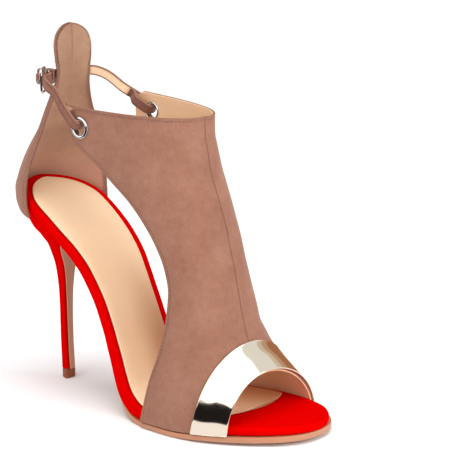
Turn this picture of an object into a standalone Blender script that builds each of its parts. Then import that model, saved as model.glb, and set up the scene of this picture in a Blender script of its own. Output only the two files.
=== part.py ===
"""Open-toe stiletto sandal, right foot, as it stands on the floor.

A suede vamp wraps the instep down to a mirror toe band. A suede counter rises behind the
heel into a tall tab, and a buckled ankle strap joins the two through metal eyelets.
Metres, +Z up, toe along +X, inner side of the foot at +Y. The origin is the middle of the
heel tip's foot, on the floor.
"""
from collections import namedtuple
from math import cos, pi, radians, sin

import bmesh
import bpy
import numpy as np
from mathutils import Matrix, Vector

OBJECT_NAME = "strappy_high_heel_sandal"

# Driving sizes
FOOT_LENGTH = 0.1971
BALL_WIDTH = 0.0736
HEEL_RISE = 0.1092
SEAT_SETBACK = 0.0204
COLLAR_HEIGHT = 0.1630
TAB_HEIGHT = 0.2060

# Layers of the sole
OUTSOLE_THICKNESS = 0.0029
SHANK_SOLE_THICKNESS = 0.0013
OUTSOLE_LEDGE = 0.0022
OUTSOLE_EDGE_RADIUS = 0.0004
LEDGE_STATIONS = (0.575, 0.665)
TREAD_STATIONS = (0.560, 0.660)
SHANK_SOLE_INSET = 0.0030
BOARD_THICKNESS = 0.0050
SHANK_BOARD_THICKNESS = 0.0064
WAIST_BOARD_THICKNESS = 0.0080
TOE_BOARD_THICKNESS = 0.0039
BOARD_EDGE_RADIUS = 0.0015
SOCK_THICKNESS = 0.0012
SOCK_INSET = 0.0023
SOCK_FRONT_STATION = 0.842
SOCK_FRONT_SKEW = 0.018
SOCK_FRONT_BOW = 0.010
SOCK_FIRST_STEP = 0.0015

# Heel
HEEL_TIP_HEIGHT = 0.0056
HEEL_TIP_DEPTH = 0.0064
HEEL_TIP_HALF_WIDTH = 0.0036
BREAST_STATION = 0.150
BREAST_BLEND_STATION = 0.225
SHANK_SOLE_END = 0.250

# Upper
CLEARANCE = 0.0003
FOOT_CLEARANCE = 0.0005
FOOT_LEAN = 0.030
SOCK_LIFT = 0.0004
UPPER_WALL = 0.0018
COUNTER_WALL = 0.0021
BAND_THICKNESS = 0.0008
SEAM_RIDGE = 0.0005
SEAM_SHARE = 0.020
NORMAL_STEP = 0.02

# Straps and metal
STRAP_WIDTH = 0.0056
STRAP_THICKNESS = 0.0018
EYELET_BORE_RADIUS = 0.0040
EYELET_BARREL_WALL = 0.0004
EYELET_FLANGE_RADIUS = 0.0060
EYELET_FLANGE_HEIGHT = 0.0009
EYELET_INNER_FLANGE_HEIGHT = 0.0005
EYELET_INNER_FLANGE_SHARE = 0.86
EYELET_ROUND = 0.0003
EYELET_STEPS = 24
OUTER_EYELET_ROW = 2.62
OUTER_EYELET_ACROSS = -0.900
INNER_EYELET_ROW = 2.35
INNER_EYELET_ACROSS = 0.850
BUCKLE_LENGTH = 0.0085
BUCKLE_HEIGHT = 0.0128
BUCKLE_WIRE_RADIUS = 0.0007
BUCKLE_CORNER_RADIUS = 0.0020
BUCKLE_CLEARANCE = 0.0004
PRONG_RADIUS = 0.0005
KEEPER_WIDTH = 0.0030
KEEPER_THICKNESS = 0.0009
KEEPER_REACH = 0.0055
KEEPER_PLAY = 0.0004
TAB_LOOP_WIDTH = 0.0105
TAB_LOOP_THICKNESS = 0.0011

# The strap's loop through an eyelet. Distances are past the vamp's rear edge, and depths and
# lifts are shares of the strap's own lift on each face of the vamp
LOOP_EASE = 1.4
LOOP_TAIL_REACHES = (0.0052, 0.0040)
LOOP_INSIDE = ((0.0020, 0.60), (-0.0004, 0.88), (-0.0030, 1.0))
LOOP_THROUGH = ((1.05, -1.0), (0.55, -0.88), (0.34, -0.50), (0.34, 0.22), (0.55, 0.86), (1.05, 1.0))
LOOP_OUTSIDE_REACHES = (0.0012, 0.0042)

# The buckle's middle, as shares of FOOT_LENGTH, BALL_WIDTH and TAB_HEIGHT
BUCKLE_ALONG = 0.0619
BUCKLE_OUT = 0.344
BUCKLE_UP = 0.858
BUCKLE_FORWARD = (0.50, -0.86, -0.10)
BUCKLE_AWAY = (-0.865, -0.50, 0.0)

# The long strap's fold round the buckle's heel bar: reach past the bar and lift, both as shares
# of the fold's own radius
FOLD_RADIUS = BUCKLE_WIRE_RADIUS + BUCKLE_CLEARANCE + STRAP_THICKNESS / 2
FOLD_ROWS = ((-2.9, -0.65), (-1.4, -1.0), (0.0, -1.0), (0.7, -0.7), (1.0, 0.0), (0.7, 0.7),
             (0.0, 1.0), (-1.4, 0.9), (-2.9, 0.6), (-3.5, 0.55))

# The short strap's way through the buckle: reach as a share of half the buckle's length, and
# lift as a share of the fold's radius below its plane and of the stack's height above it
STACK_LIFT = FOLD_RADIUS + STRAP_THICKNESS + BUCKLE_CLEARANCE
THROUGH_ROWS = ((1.0, -1.0), (0.5, -0.75), (0.07, 0.07), (-0.33, 0.60), (-0.70, 0.92),
                (-1.08, 1.0), (-1.65, 0.98), (-2.35, 0.86), (-3.0, 0.80))
KEEPER_STACK = 0.88

# The tab's loop: steps of the counter's rows from the strap, and shares of the loop's bulge
TAB_LOOP_ROWS = ((-1.50, 0.0), (-1.10, 0.0), (-0.82, 0.62), (-0.60, 1.0), (0.0, 1.04),
                 (0.60, 1.0), (0.82, 0.62), (1.10, 0.0), (1.50, 0.0))
TAB_STRAP_SHARES = (0.62, 0.30, 0.0, -0.30, -0.62)

# Free stretches of the two straps, as shares of FOOT_LENGTH, BALL_WIDTH and TAB_HEIGHT
FREE_STRAP_UP = (0.15, 0.0, 1.0)
INNER_ROUTE = [(0.126, 0.325, 0.823), (0.088, 0.268, 0.850), (0.052, 0.214, 0.864)]
OUTER_ROUTE = [(0.140, -0.430, 0.832), (0.114, -0.424, 0.844), (0.094, -0.406, 0.852)]

# Footbed stations from heel to toe: place along the bed, shares of FOOT_LENGTH and HEEL_RISE
# for its middle line, shares of BALL_WIDTH for the sideways shift and the half width
Station = namedtuple("Station", "at along rise shift half")
FOOTBED = [
    Station(0.000, 0.000, 1.000, -0.004, 0.372),
    Station(0.050, 0.060, 0.964, -0.005, 0.376),
    Station(0.100, 0.116, 0.914, -0.007, 0.380),
    Station(0.150, 0.170, 0.855, -0.011, 0.380),
    Station(0.200, 0.221, 0.788, -0.014, 0.375),
    Station(0.250, 0.270, 0.719, -0.019, 0.357),
    Station(0.300, 0.315, 0.638, -0.027, 0.338),
    Station(0.350, 0.352, 0.545, -0.038, 0.321),
    Station(0.400, 0.384, 0.447, -0.046, 0.311),
    Station(0.450, 0.412, 0.345, -0.053, 0.311),
    Station(0.500, 0.440, 0.243, -0.061, 0.319),
    Station(0.550, 0.471, 0.143, -0.060, 0.348),
    Station(0.600, 0.509, 0.052, -0.050, 0.393),
    Station(0.650, 0.565, 0.005, -0.033, 0.446),
    Station(0.690, 0.614, 0.000, -0.016, 0.477),
    Station(0.745, 0.681, 0.000, 0.000, 0.506),
    Station(0.800, 0.750, 0.005, 0.018, 0.521),
    Station(0.850, 0.813, 0.008, 0.043, 0.529),
    Station(0.900, 0.876, 0.009, 0.074, 0.537),
    Station(0.950, 0.938, 0.010, 0.100, 0.550),
    Station(1.000, 1.000, 0.012, 0.109, 0.557),
]
HEEL_ROUND = 0.130
TOE_ROUND = 0.300
BED_ENDS = (0.0006, 0.9994)
BALL_STATION = 0.69

# Rows of the vamp above the sole, collar first: shares of FOOT_LENGTH (along), BALL_WIDTH (out)
# and COLLAR_HEIGHT (up) for the front seam and the two rear edges, and each row's squareness
VampRow = namedtuple("VampRow", "front_along front_up outer_along outer_out outer_up "
                                "inner_along inner_out inner_up outer_square inner_square")
VAMP_ROWS = [
    VampRow(0.641, 0.994, 0.315, 0.408, 1.012, 0.290, 0.394, 1.027, 2.50, 2.50),
    VampRow(0.641, 0.979, 0.295, 0.412, 0.995, 0.264, 0.401, 1.006, 2.50, 2.50),
    VampRow(0.641, 0.957, 0.288, 0.413, 0.969, 0.256, 0.405, 0.979, 2.50, 2.50),
    VampRow(0.642, 0.926, 0.287, 0.411, 0.933, 0.257, 0.405, 0.942, 2.50, 2.50),
    VampRow(0.648, 0.896, 0.295, 0.408, 0.902, 0.280, 0.401, 0.902, 2.50, 2.50),
    VampRow(0.653, 0.865, 0.328, 0.406, 0.870, 0.328, 0.397, 0.859, 2.50, 2.50),
    VampRow(0.660, 0.825, 0.386, 0.398, 0.826, 0.381, 0.390, 0.804, 2.50, 2.50),
    VampRow(0.672, 0.782, 0.442, 0.390, 0.773, 0.432, 0.380, 0.739, 2.50, 2.50),
    VampRow(0.688, 0.733, 0.500, 0.383, 0.718, 0.478, 0.367, 0.663, 2.50, 2.50),
    VampRow(0.704, 0.681, 0.551, 0.383, 0.656, 0.514, 0.357, 0.583, 2.50, 2.50),
    VampRow(0.719, 0.623, 0.594, 0.385, 0.589, 0.544, 0.353, 0.506, 2.50, 2.55),
    VampRow(0.730, 0.571, 0.625, 0.391, 0.518, 0.564, 0.353, 0.417, 2.45, 2.60),
    VampRow(0.742, 0.515, 0.639, 0.402, 0.445, 0.571, 0.364, 0.334, 2.40, 2.65),
    VampRow(0.753, 0.457, 0.636, 0.421, 0.356, 0.573, 0.385, 0.245, 2.35, 2.75),
    VampRow(0.763, 0.402, 0.622, 0.454, 0.258, 0.576, 0.412, 0.153, 2.30, 2.80),
    VampRow(0.771, 0.359, 0.594, 0.484, 0.150, 0.577, 0.432, 0.080, 2.30, 2.80),
]

# Rows of the vamp that end on the sole, to the toe opening: the same for the front seam,
# and the footbed station where each side comes down
FootRow = namedtuple("FootRow", "front_along front_up outer_at inner_at outer_square inner_square")
VAMP_FOOT_ROWS = [
    FootRow(0.779, 0.328, 0.660, 0.664, 2.25, 2.70),
    FootRow(0.784, 0.307, 0.700, 0.705, 2.20, 2.50),
    FootRow(0.788, 0.294, 0.750, 0.765, 2.20, 2.25),
    FootRow(0.792, 0.283, 0.800, 0.825, 2.20, 2.02),
    FootRow(0.823, 0.244, 0.838, 0.860, 2.20, 1.95),
    FootRow(0.855, 0.201, 0.873, 0.893, 2.20, 1.95),
]
BAND_REAR_ROW = 19.0
VAMP_CORNER_ROWS = 4
VAMP_CORNER_SHARE = 0.75
VAMP_TOP_MESH_ROWS = (0, 0.5, 1, 1.6, 2.3, 3, 3.5)
VAMP_END_GAP = 0.08
VAMP_COLUMNS = 11

# Rows of the counter from the seat up: shares of FOOT_LENGTH and TAB_HEIGHT for the middle of
# the back, of BALL_WIDTH for the edges' reach to each side, and the row's squareness
CounterRow = namedtuple("CounterRow", "back_along back_up outer_along outer_out outer_up "
                                      "inner_along inner_out inner_up square")
COUNTER_ROWS = [
    CounterRow(-0.014, 0.522, 0.117, 0.412, 0.483, 0.134, 0.403, 0.479, 1.80),
    CounterRow(-0.024, 0.541, 0.110, 0.418, 0.508, 0.131, 0.410, 0.510, 1.80),
    CounterRow(-0.026, 0.563, 0.107, 0.418, 0.547, 0.128, 0.412, 0.552, 1.78),
    CounterRow(-0.012, 0.592, 0.109, 0.408, 0.587, 0.127, 0.405, 0.592, 1.76),
    CounterRow(0.012, 0.636, 0.119, 0.388, 0.633, 0.127, 0.386, 0.636, 1.78),
    CounterRow(0.049, 0.689, 0.132, 0.353, 0.682, 0.129, 0.347, 0.686, 1.80),
    CounterRow(0.077, 0.726, 0.140, 0.310, 0.724, 0.132, 0.300, 0.728, 1.80),
    CounterRow(0.091, 0.769, 0.144, 0.261, 0.769, 0.136, 0.247, 0.771, 1.80),
    CounterRow(0.103, 0.812, 0.149, 0.209, 0.811, 0.145, 0.200, 0.812, 1.80),
    CounterRow(0.122, 0.847, 0.153, 0.179, 0.847, 0.152, 0.176, 0.847, 1.80),
    CounterRow(0.134, 0.876, 0.156, 0.177, 0.876, 0.155, 0.176, 0.876, 1.90),
    CounterRow(0.139, 0.908, 0.155, 0.192, 0.908, 0.154, 0.192, 0.908, 2.00),
    CounterRow(0.141, 0.939, 0.153, 0.198, 0.939, 0.152, 0.198, 0.939, 2.00),
    CounterRow(0.141, 0.966, 0.151, 0.180, 0.966, 0.150, 0.180, 0.966, 2.00),
    CounterRow(0.140, 0.985, 0.148, 0.134, 0.985, 0.148, 0.134, 0.985, 2.00),
    CounterRow(0.139, 0.996, 0.143, 0.073, 0.996, 0.143, 0.073, 0.996, 2.00),
    CounterRow(0.139, 1.000, 0.140, 0.020, 1.000, 0.140, 0.020, 1.000, 2.00),
]

TAB_STRAP_ROW = 9.55
COUNTER_MESH_ROWS = (0, 0.6, 1.2, 2, 3, 4, 5, 6, 7, 8, 9, 10, 11, 12, 13, 13.6, 14.2, 14.8, 15.4, 16)
COUNTER_FIRST_SHARE = 0.14
COUNTER_COLUMNS = 7

# Rows of the heel from the tip up: share of the seat's height, back and front as shares of
# FOOT_LENGTH from the tip's middle, half width as a share of BALL_WIDTH
HeelRow = namedtuple("HeelRow", "up back front half")
HEEL_ROWS = [
    HeelRow(0.050, -0.0170, 0.0160, 0.0482),
    HeelRow(0.210, -0.0208, 0.0117, 0.0470),
    HeelRow(0.340, -0.0218, 0.0107, 0.0470),
    HeelRow(0.425, -0.0233, 0.0112, 0.0490),
    HeelRow(0.510, -0.0284, 0.0132, 0.0570),
    HeelRow(0.570, -0.0345, 0.0152, 0.0710),
    HeelRow(0.630, -0.0416, 0.0213, 0.1130),
    HeelRow(0.680, -0.0475, 0.0345, 0.1640),
]

# Rows of the heel's seat above those, where its breast runs out along the arch: share of the
# seat's height, back as a share of FOOT_LENGTH, half width as a share of BALL_WIDTH
SeatRow = namedtuple("SeatRow", "up back half")
SEAT_ROWS = [
    SeatRow(0.735, -0.0525, 0.218),
    SeatRow(0.800, -0.0730, 0.295),
    SeatRow(0.880, -0.0930, 0.338),
    SeatRow(0.960, -0.1000, 0.350),
]
SEAT_OVERREACH = 0.25
SEAT_CUT_END = 0.45
STEM_SQUARE = 2.0
SEAT_SQUARE = 2.4
BREAST_TURNS = (0.2, 0.4, 0.6, 0.8, 1.0)


def smooth(places, values, at):
    """Monotone cubic through (places, values), read at the given places."""
    x = np.asarray(places, float)
    y = np.asarray(values, float)
    step = np.diff(x)
    slope = np.diff(y) / step
    tangent = np.zeros(len(x))
    tangent[0] = slope[0]
    tangent[-1] = slope[-1]
    for i in range(1, len(x) - 1):
        before = slope[i - 1]
        after = slope[i]
        if before * after > 0:
            w1 = 2 * step[i] + step[i - 1]
            w2 = step[i] + 2 * step[i - 1]
            tangent[i] = (w1 + w2) / (w1 / before + w2 / after)
    at = np.clip(np.asarray(at, float), x[0], x[-1])
    i = np.clip(np.searchsorted(x, at, side="right") - 1, 0, len(x) - 2)
    t = (at - x[i]) / step[i]
    h00 = 2 * t**3 - 3 * t**2 + 1
    h10 = t**3 - 2 * t**2 + t
    h01 = -2 * t**3 + 3 * t**2
    h11 = t**3 - t**2
    near = h00 * y[i] + h10 * step[i] * tangent[i]
    return near + h01 * y[i + 1] + h11 * step[i] * tangent[i + 1]


# Footbed

BALL_TOP = OUTSOLE_THICKNESS + CLEARANCE + BOARD_THICKNESS
SEAT_HEIGHT = BALL_TOP + HEEL_RISE


def bed_column(name, at):
    """Value of one column of the footbed table at the given stations."""
    places = [row.at for row in FOOTBED]
    return smooth(places, [getattr(row, name) for row in FOOTBED], at)


def bed_line(at):
    """Middle line of the footbed's top: x and z at the given stations."""
    x = bed_column("along", at) * FOOT_LENGTH - SEAT_SETBACK
    z = BALL_TOP + bed_column("rise", at) * HEEL_RISE
    return np.array([x, z])


def bed_down(at):
    """Unit vector in the XZ plane that points out of the footbed's underside."""
    step = 0.004
    ahead = bed_line(np.clip(np.asarray(at) + step, 0, 1))
    behind = bed_line(np.clip(np.asarray(at) - step, 0, 1))
    along = (ahead - behind) / np.linalg.norm(ahead - behind, axis=0)
    return np.array([along[1], -along[0]])


def bed_shift(at):
    """Sideways place of the footbed's middle."""
    return bed_column("shift", at) * BALL_WIDTH


def bed_half(at):
    """Half width of the footbed, rounded off at heel and toe."""
    heel = np.clip(np.asarray(at) / HEEL_ROUND, 0, 1)
    toe = np.clip((1 - np.asarray(at)) / TOE_ROUND, 0, 1)
    ends = np.sqrt(1 - (1 - heel)**2) * np.sqrt(1 - (1 - toe)**2)
    return bed_column("half", at) * BALL_WIDTH * ends


def board_thickness(at):
    """Thickness of the covered insole board, fullest where the arch meets the ball."""
    places = [0.0, 0.45, 0.60, BALL_STATION, 0.76, 1.0]
    values = [BOARD_THICKNESS, SHANK_BOARD_THICKNESS, WAIST_BOARD_THICKNESS, BOARD_THICKNESS,
              BOARD_THICKNESS, TOE_BOARD_THICKNESS]
    return smooth(places, values, at)


def bed_point(at, share, depth, half):
    """Point below the footbed: share of the half width to the side, depth along the normal."""
    x, z = bed_line(at)
    down = bed_down(at)
    return Vector((x + down[0] * depth, bed_shift(at) + share * half, z + down[1] * depth))


def spread(start, end, count):
    """Stations from start to end, closer together at both ends."""
    turn = (1 - np.cos(np.linspace(0, pi, count))) / 2
    return start + (end - start) * turn


def slab_section(half, top, bottom, radius):
    """Outline of a slab with rounded edges: pairs of share of half width and depth."""
    radius = min(radius, 0.45 * (bottom - top))
    edge = min(radius / half, 0.5)
    right = [
        (1 - edge, top),
        (1, top + radius),
        (1, bottom - radius),
        (1 - edge, bottom),
    ]
    left = [(-share, depth) for share, depth in reversed(right)]
    return right + left


# Meshes and materials

def material(name, colour, roughness, metallic=0.0):
    """Principled material of one colour."""
    made = bpy.data.materials.new(name)
    made.use_nodes = True
    shader = made.node_tree.nodes["Principled BSDF"]
    shader.inputs["Base Color"].default_value = (*colour, 1.0)
    shader.inputs["Roughness"].default_value = roughness
    shader.inputs["Metallic"].default_value = metallic
    made.diffuse_color = (*colour, 1.0)
    return made


def add_object(name, mesh, made, collection):
    """Object of the given mesh and material, shaded smooth with its edges kept."""
    mesh.materials.append(made)
    mesh.shade_smooth()
    mesh.set_sharp_from_angle(angle=radians(40))
    piece = bpy.data.objects.new(name, mesh)
    collection.objects.link(piece)
    return piece


def loft(name, rings, made, collection, closed=False):
    """Closed solid through rings of points, capped at its ends or joined round in a loop."""
    mesh = bpy.data.meshes.new(name)
    shell = bmesh.new()
    loops = [[shell.verts.new(point) for point in ring] for ring in rings]
    pairs = list(zip(loops, loops[1:]))
    if closed:
        pairs.append((loops[-1], loops[0]))
    for near, far in pairs:
        for i in range(len(near)):
            j = (i + 1) % len(near)
            shell.faces.new((near[i], near[j], far[j], far[i]))
    if not closed:
        shell.faces.new(list(reversed(loops[0])))
        shell.faces.new(loops[-1])
    bmesh.ops.triangulate(shell, faces=[face for face in shell.faces if len(face.verts) > 4])
    bmesh.ops.recalc_face_normals(shell, faces=shell.faces)
    shell.to_mesh(mesh)
    shell.free()
    return add_object(name, mesh, made, collection)


def skin(name, grid, wall, made, collection):
    """Open surface through a grid of points, thickened inwards to a wall."""
    mesh = bpy.data.meshes.new(name)
    rows = len(grid)
    columns = len(grid[0])
    faces = []
    for i in range(rows - 1):
        for j in range(columns - 1):
            corner = i * columns + j
            faces.append((corner, corner + 1, corner + columns + 1, corner + columns))
    mesh.from_pydata([point for row in grid for point in row], [], faces)
    piece = add_object(name, mesh, made, collection)
    thicken = piece.modifiers.new("wall", "SOLIDIFY")
    thicken.thickness = wall
    thicken.offset = -1
    return piece


def curve_through(points, spans):
    """Smooth curve through the points, with the given number of steps in each span."""
    points = [Vector(point) for point in points]
    ends = [2 * points[0] - points[1]] + points + [2 * points[-1] - points[-2]]
    made = []
    for before, start, end, after in zip(ends, ends[1:], ends[2:], ends[3:]):
        for i in range(spans):
            t = i / spans
            made.append(0.5 * (2 * start + (end - before) * t
                               + (2 * before - 5 * start + 4 * end - after) * t**2
                               + (3 * start - before - 3 * end + after) * t**3))
    made.append(points[-1])
    return made


def ribbon(name, points, widths, width, thickness, made, collection, spans=2, closed=False):
    """Flat strap along the points, its width lying along the given directions."""
    if closed:
        path = [Vector(point) for point in points]
        sides = [Vector(side) for side in widths]
    else:
        path = curve_through(points, spans)
        sides = curve_through(widths, spans)
    chamfer = 0.25 * thickness
    outline = [(-0.5, -0.5), (0.5, -0.5), (0.5, 0.5), (-0.5, 0.5)]
    corners = []
    for across, through in outline:
        flat = (across * (width - 2 * chamfer), through * thickness)
        upright = (across * width, through * (thickness - 2 * chamfer))
        corners += [upright, flat] if across * through > 0 else [flat, upright]
    rings = []
    count = len(path)
    for i in range(count):
        ahead = path[(i + 1) % count] if closed else path[min(i + 1, count - 1)]
        behind = path[(i - 1) % count] if closed else path[max(i - 1, 0)]
        along = (ahead - behind).normalized()
        side = (sides[i] - sides[i].dot(along) * along).normalized()
        up = along.cross(side)
        rings.append([path[i] + side * a + up * t for a, t in corners])
    return loft(name, rings, made, collection, closed)


# Upper

VAMP_LAST_ROW = len(VAMP_ROWS) + len(VAMP_FOOT_ROWS) - 1
FOOT_FIRST_ROW = len(VAMP_ROWS)


def along_to_x(along):
    """X of a share of the foot's length, measured from the back of the seat."""
    return along * FOOT_LENGTH - SEAT_SETBACK


def foot_edge(at, side):
    """Lower edge of the upper beside the insole board, on the outer (-1) or inner (1) side."""
    low = bed_point(at, 0.0, board_thickness(at) - FOOT_CLEARANCE, 0.0)
    ahead = min(at + FOOT_LEAN, 1.0)
    reach = max(float(side * bed_shift(place) + bed_half(place)) for place in (at, ahead))
    return Vector((low.x, side * (reach + FOOT_CLEARANCE + UPPER_WALL), low.z))


def free_edge(row, side):
    """Rear edge of the vamp on one side at a row above the sole."""
    name = "outer" if side < 0 else "inner"
    last = foot_edge(getattr(VAMP_FOOT_ROWS[0], name + "_at"), side)
    places = range(FOOT_FIRST_ROW + 1)
    along = [along_to_x(getattr(each, name + "_along")) for each in VAMP_ROWS] + [last.x]
    out = [side * getattr(each, name + "_out") * BALL_WIDTH for each in VAMP_ROWS] + [last.y]
    up = [getattr(each, name + "_up") * COLLAR_HEIGHT for each in VAMP_ROWS] + [last.z]
    return Vector([float(smooth(places, column, row)) for column in (along, out, up)])


def vamp_edge(row, side):
    """Edge of the vamp on one side at any row."""
    if row < FOOT_FIRST_ROW:
        return free_edge(row, side)
    name = "outer_at" if side < 0 else "inner_at"
    places = range(FOOT_FIRST_ROW, VAMP_LAST_ROW + 1)
    at = float(smooth(places, [getattr(each, name) for each in VAMP_FOOT_ROWS], row))
    return foot_edge(at, side)


def wrapped(middle, edge, square, share):
    """Point on a half row that wraps from the middle round to an edge, by share of its length."""
    turn = np.linspace(0, pi / 2, 60)
    corner = np.array([edge.x, middle.y, edge.z])
    reach = np.array(middle) - corner
    out = np.array(edge) - corner
    power = 2 / square
    c = np.clip(np.cos(turn), 0, 1)**power
    s = np.clip(np.sin(turn), 0, 1)**power
    points = corner + np.outer(c, reach) + np.outer(s, out)
    lengths = np.concatenate([[0], np.cumsum(np.linalg.norm(np.diff(points, axis=0), axis=1))])
    place = share * lengths[-1]
    return Vector([float(np.interp(place, lengths, points[:, k])) for k in range(3)])


def vamp_point(row, across):
    """Outer face of the vamp: row down from the collar, across from -1 (outer) to 1 (inner)."""
    rows = VAMP_ROWS + VAMP_FOOT_ROWS
    places = range(len(rows))
    x = along_to_x(float(smooth(places, [each.front_along for each in rows], row)))
    z = float(smooth(places, [each.front_up for each in rows], row)) * COLLAR_HEIGHT
    side = -1 if across < 0 else 1
    name = "outer_square" if across < 0 else "inner_square"
    square = float(smooth(places, [getattr(each, name) for each in rows], row))
    return wrapped(Vector((x, 0, z)), vamp_edge(row, side), square, abs(across))


def counter_point(row, across):
    """Outer face of the counter: row up from the seat, across from -1 (outer) to 1 (inner)."""
    places = range(len(COUNTER_ROWS))

    def read(name):
        return float(smooth(places, [getattr(each, name) for each in COUNTER_ROWS], row))

    side = -1 if across < 0 else 1
    name = "outer" if across < 0 else "inner"
    back = Vector((along_to_x(read("back_along")), 0, read("back_up") * TAB_HEIGHT))
    edge = Vector((along_to_x(read(name + "_along")), side * read(name + "_out") * BALL_WIDTH,
                   read(name + "_up") * TAB_HEIGHT))
    return wrapped(back, edge, read("square"), abs(across))


def outward(surface, row, across):
    """Unit normal of an upper's face, pointing away from the foot."""
    on = surface(row + NORMAL_STEP, across) - surface(row - NORMAL_STEP, across)
    right = min(across + NORMAL_STEP, 1)
    left = max(across - NORMAL_STEP, -1)
    round_foot = surface(row, right) - surface(row, left)
    return on.cross(round_foot).normalized()


def vamp_face(row, across, lift=0.0):
    """Point above the vamp's outer face, with its raised front seam."""
    ridge = SEAM_RIDGE * max(0.0, 1 - abs(across) / SEAM_SHARE)
    inner_row = min(max(row, NORMAL_STEP), VAMP_LAST_ROW - NORMAL_STEP)
    return vamp_point(row, across) + outward(vamp_point, inner_row, across) * (lift + ridge)


def half_columns():
    """Shares across a row from edge to edge, with the seam's own columns in the middle."""
    side = list(np.linspace(SEAM_SHARE * 3, 1, VAMP_COLUMNS))
    return [-share for share in reversed(side)] + [-SEAM_SHARE, 0, SEAM_SHARE] + side


def make_vamp(made, cutters, collection):
    """Vamp: a hollow wall from collar to toe opening, with a hole for each eyelet."""
    rows = list(VAMP_TOP_MESH_ROWS) + list(np.linspace(VAMP_CORNER_ROWS, FOOT_FIRST_ROW, 14))
    rows += list(np.linspace(FOOT_FIRST_ROW + 0.7, VAMP_LAST_ROW - VAMP_END_GAP, 7))
    grid = [[vamp_face(row, across) for across in reversed(half_columns())] for row in rows]
    vamp = skin("vamp", grid, UPPER_WALL, made, collection)
    for side in (-1, 1):
        centre, normal = eyelet_place(side)
        radius = EYELET_BORE_RADIUS + EYELET_BARREL_WALL + CLEARANCE
        bpy.ops.mesh.primitive_cylinder_add(vertices=EYELET_STEPS, radius=radius,
                                            depth=6 * UPPER_WALL)
        cutter = bpy.context.object
        cutter.name = "eyelet_cutter_outer" if side < 0 else "eyelet_cutter_inner"
        cutter.matrix_world = placed(centre, normal)
        hide_cutter(cutter, cutters)
        cut = vamp.modifiers.new("eyelet hole", "BOOLEAN")
        cut.object = cutter
        cut.operation = "DIFFERENCE"
    return vamp


def make_toe_band(made, collection):
    """Mirror band laid over the front of the vamp, round the toe opening."""
    lift = CLEARANCE + BAND_THICKNESS
    grid = [[vamp_face(row, across, lift) for across in reversed(half_columns())]
            for row in np.linspace(BAND_REAR_ROW, VAMP_LAST_ROW, 5)]
    return skin("toe_band", grid, BAND_THICKNESS, made, collection)


def make_counter(made, collection):
    """Counter: a hollow wall round the back of the seat that rises into the tall tab."""
    shares = list(np.linspace(COUNTER_FIRST_SHARE, 1, COUNTER_COLUMNS))
    columns = [-share for share in reversed(shares)] + [0] + shares
    grid = [[counter_point(row, across) for across in reversed(columns)] for row in COUNTER_MESH_ROWS]
    return skin("counter", grid, COUNTER_WALL, made, collection)


# Sole

def make_board(made, collection):
    """Covered insole board under the whole foot."""
    rings = []
    for at in spread(*BED_ENDS, 50):
        half = float(bed_half(at))
        section = slab_section(half, 0.0, float(board_thickness(at)), BOARD_EDGE_RADIUS)
        rings.append([bed_point(at, share, depth, half) for share, depth in section])
    return loft("insole_board", rings, made, collection)


def sock_half(at):
    """Half width of the sock lining: the board's, inset, and less so where it rounds off."""
    half = float(bed_half(at))
    return half - SOCK_INSET * min(1.0, half / (4 * SOCK_INSET))


def make_sock(made, collection):
    """Sock lining on the board, inset all round and ending short of the toe."""
    start = SOCK_INSET / FOOT_LENGTH
    top = -SOCK_LIFT - SOCK_THICKNESS
    rings = []
    for step in spread(SOCK_FIRST_STEP, 1, 44):
        reach = start + (SOCK_FRONT_STATION - start) * step
        ring = []
        for share, depth in slab_section(sock_half(reach), top, -SOCK_LIFT, SOCK_THICKNESS / 3):
            front = SOCK_FRONT_STATION + SOCK_FRONT_SKEW * share + SOCK_FRONT_BOW * (1 - share**2)
            at = start + (front - start) * step
            ring.append(bed_point(at, share, depth, sock_half(at)))
        rings.append(ring)
    return loft("sock_lining", rings, made, collection)


def bed_under(at):
    """Point in the XZ plane just below the board, at the board's middle."""
    line = bed_line(at) + bed_down(at) * (board_thickness(at) + CLEARANCE)
    return Vector((float(line[0]), float(line[1])))


def breast_line():
    """Front line of the heel's stem, and its run out along the arch: XZ points from the tip up."""
    stem = [Vector((row.front * FOOT_LENGTH, row.up * SEAT_HEIGHT)) for row in HEEL_ROWS]
    corner = bed_under(BREAST_STATION)
    blend = bed_under(BREAST_BLEND_STATION)
    turn = [(1 - t)**2 * stem[-1] + 2 * t * (1 - t) * corner + t**2 * blend for t in BREAST_TURNS]
    return stem, turn


def outsole_path():
    """Rows of the outsole from the toe to the heel tip: XZ place, shift, half width, thickness."""
    path = []
    for at in spread(BED_ENDS[1], SHANK_SOLE_END, 40):
        ledge = float(smooth(LEDGE_STATIONS, [-SHANK_SOLE_INSET, OUTSOLE_LEDGE], at))
        thickness = float(smooth(TREAD_STATIONS, [SHANK_SOLE_THICKNESS, OUTSOLE_THICKNESS], at))
        half = float(bed_half(at))
        ledge *= min(1.0, half / (3 * OUTSOLE_LEDGE))
        path.append((bed_under(at), float(bed_shift(at)), half + ledge, thickness))
    _, last_shift, last_half, _ = path[-1]
    stem, turn = breast_line()
    top_half = HEEL_ROWS[-1].half * BALL_WIDTH
    for point, t in zip(reversed(turn), BREAST_TURNS):
        narrow = t - BREAST_TURNS[0] / 2
        half = last_half + (top_half - last_half) * narrow
        path.append((point, last_shift * (1 - narrow), half, SHANK_SOLE_THICKNESS))
    for point, row in zip(reversed(stem), reversed(HEEL_ROWS)):
        path.append((point, 0.0, row.half * BALL_WIDTH, SHANK_SOLE_THICKNESS))
    return path


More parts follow.
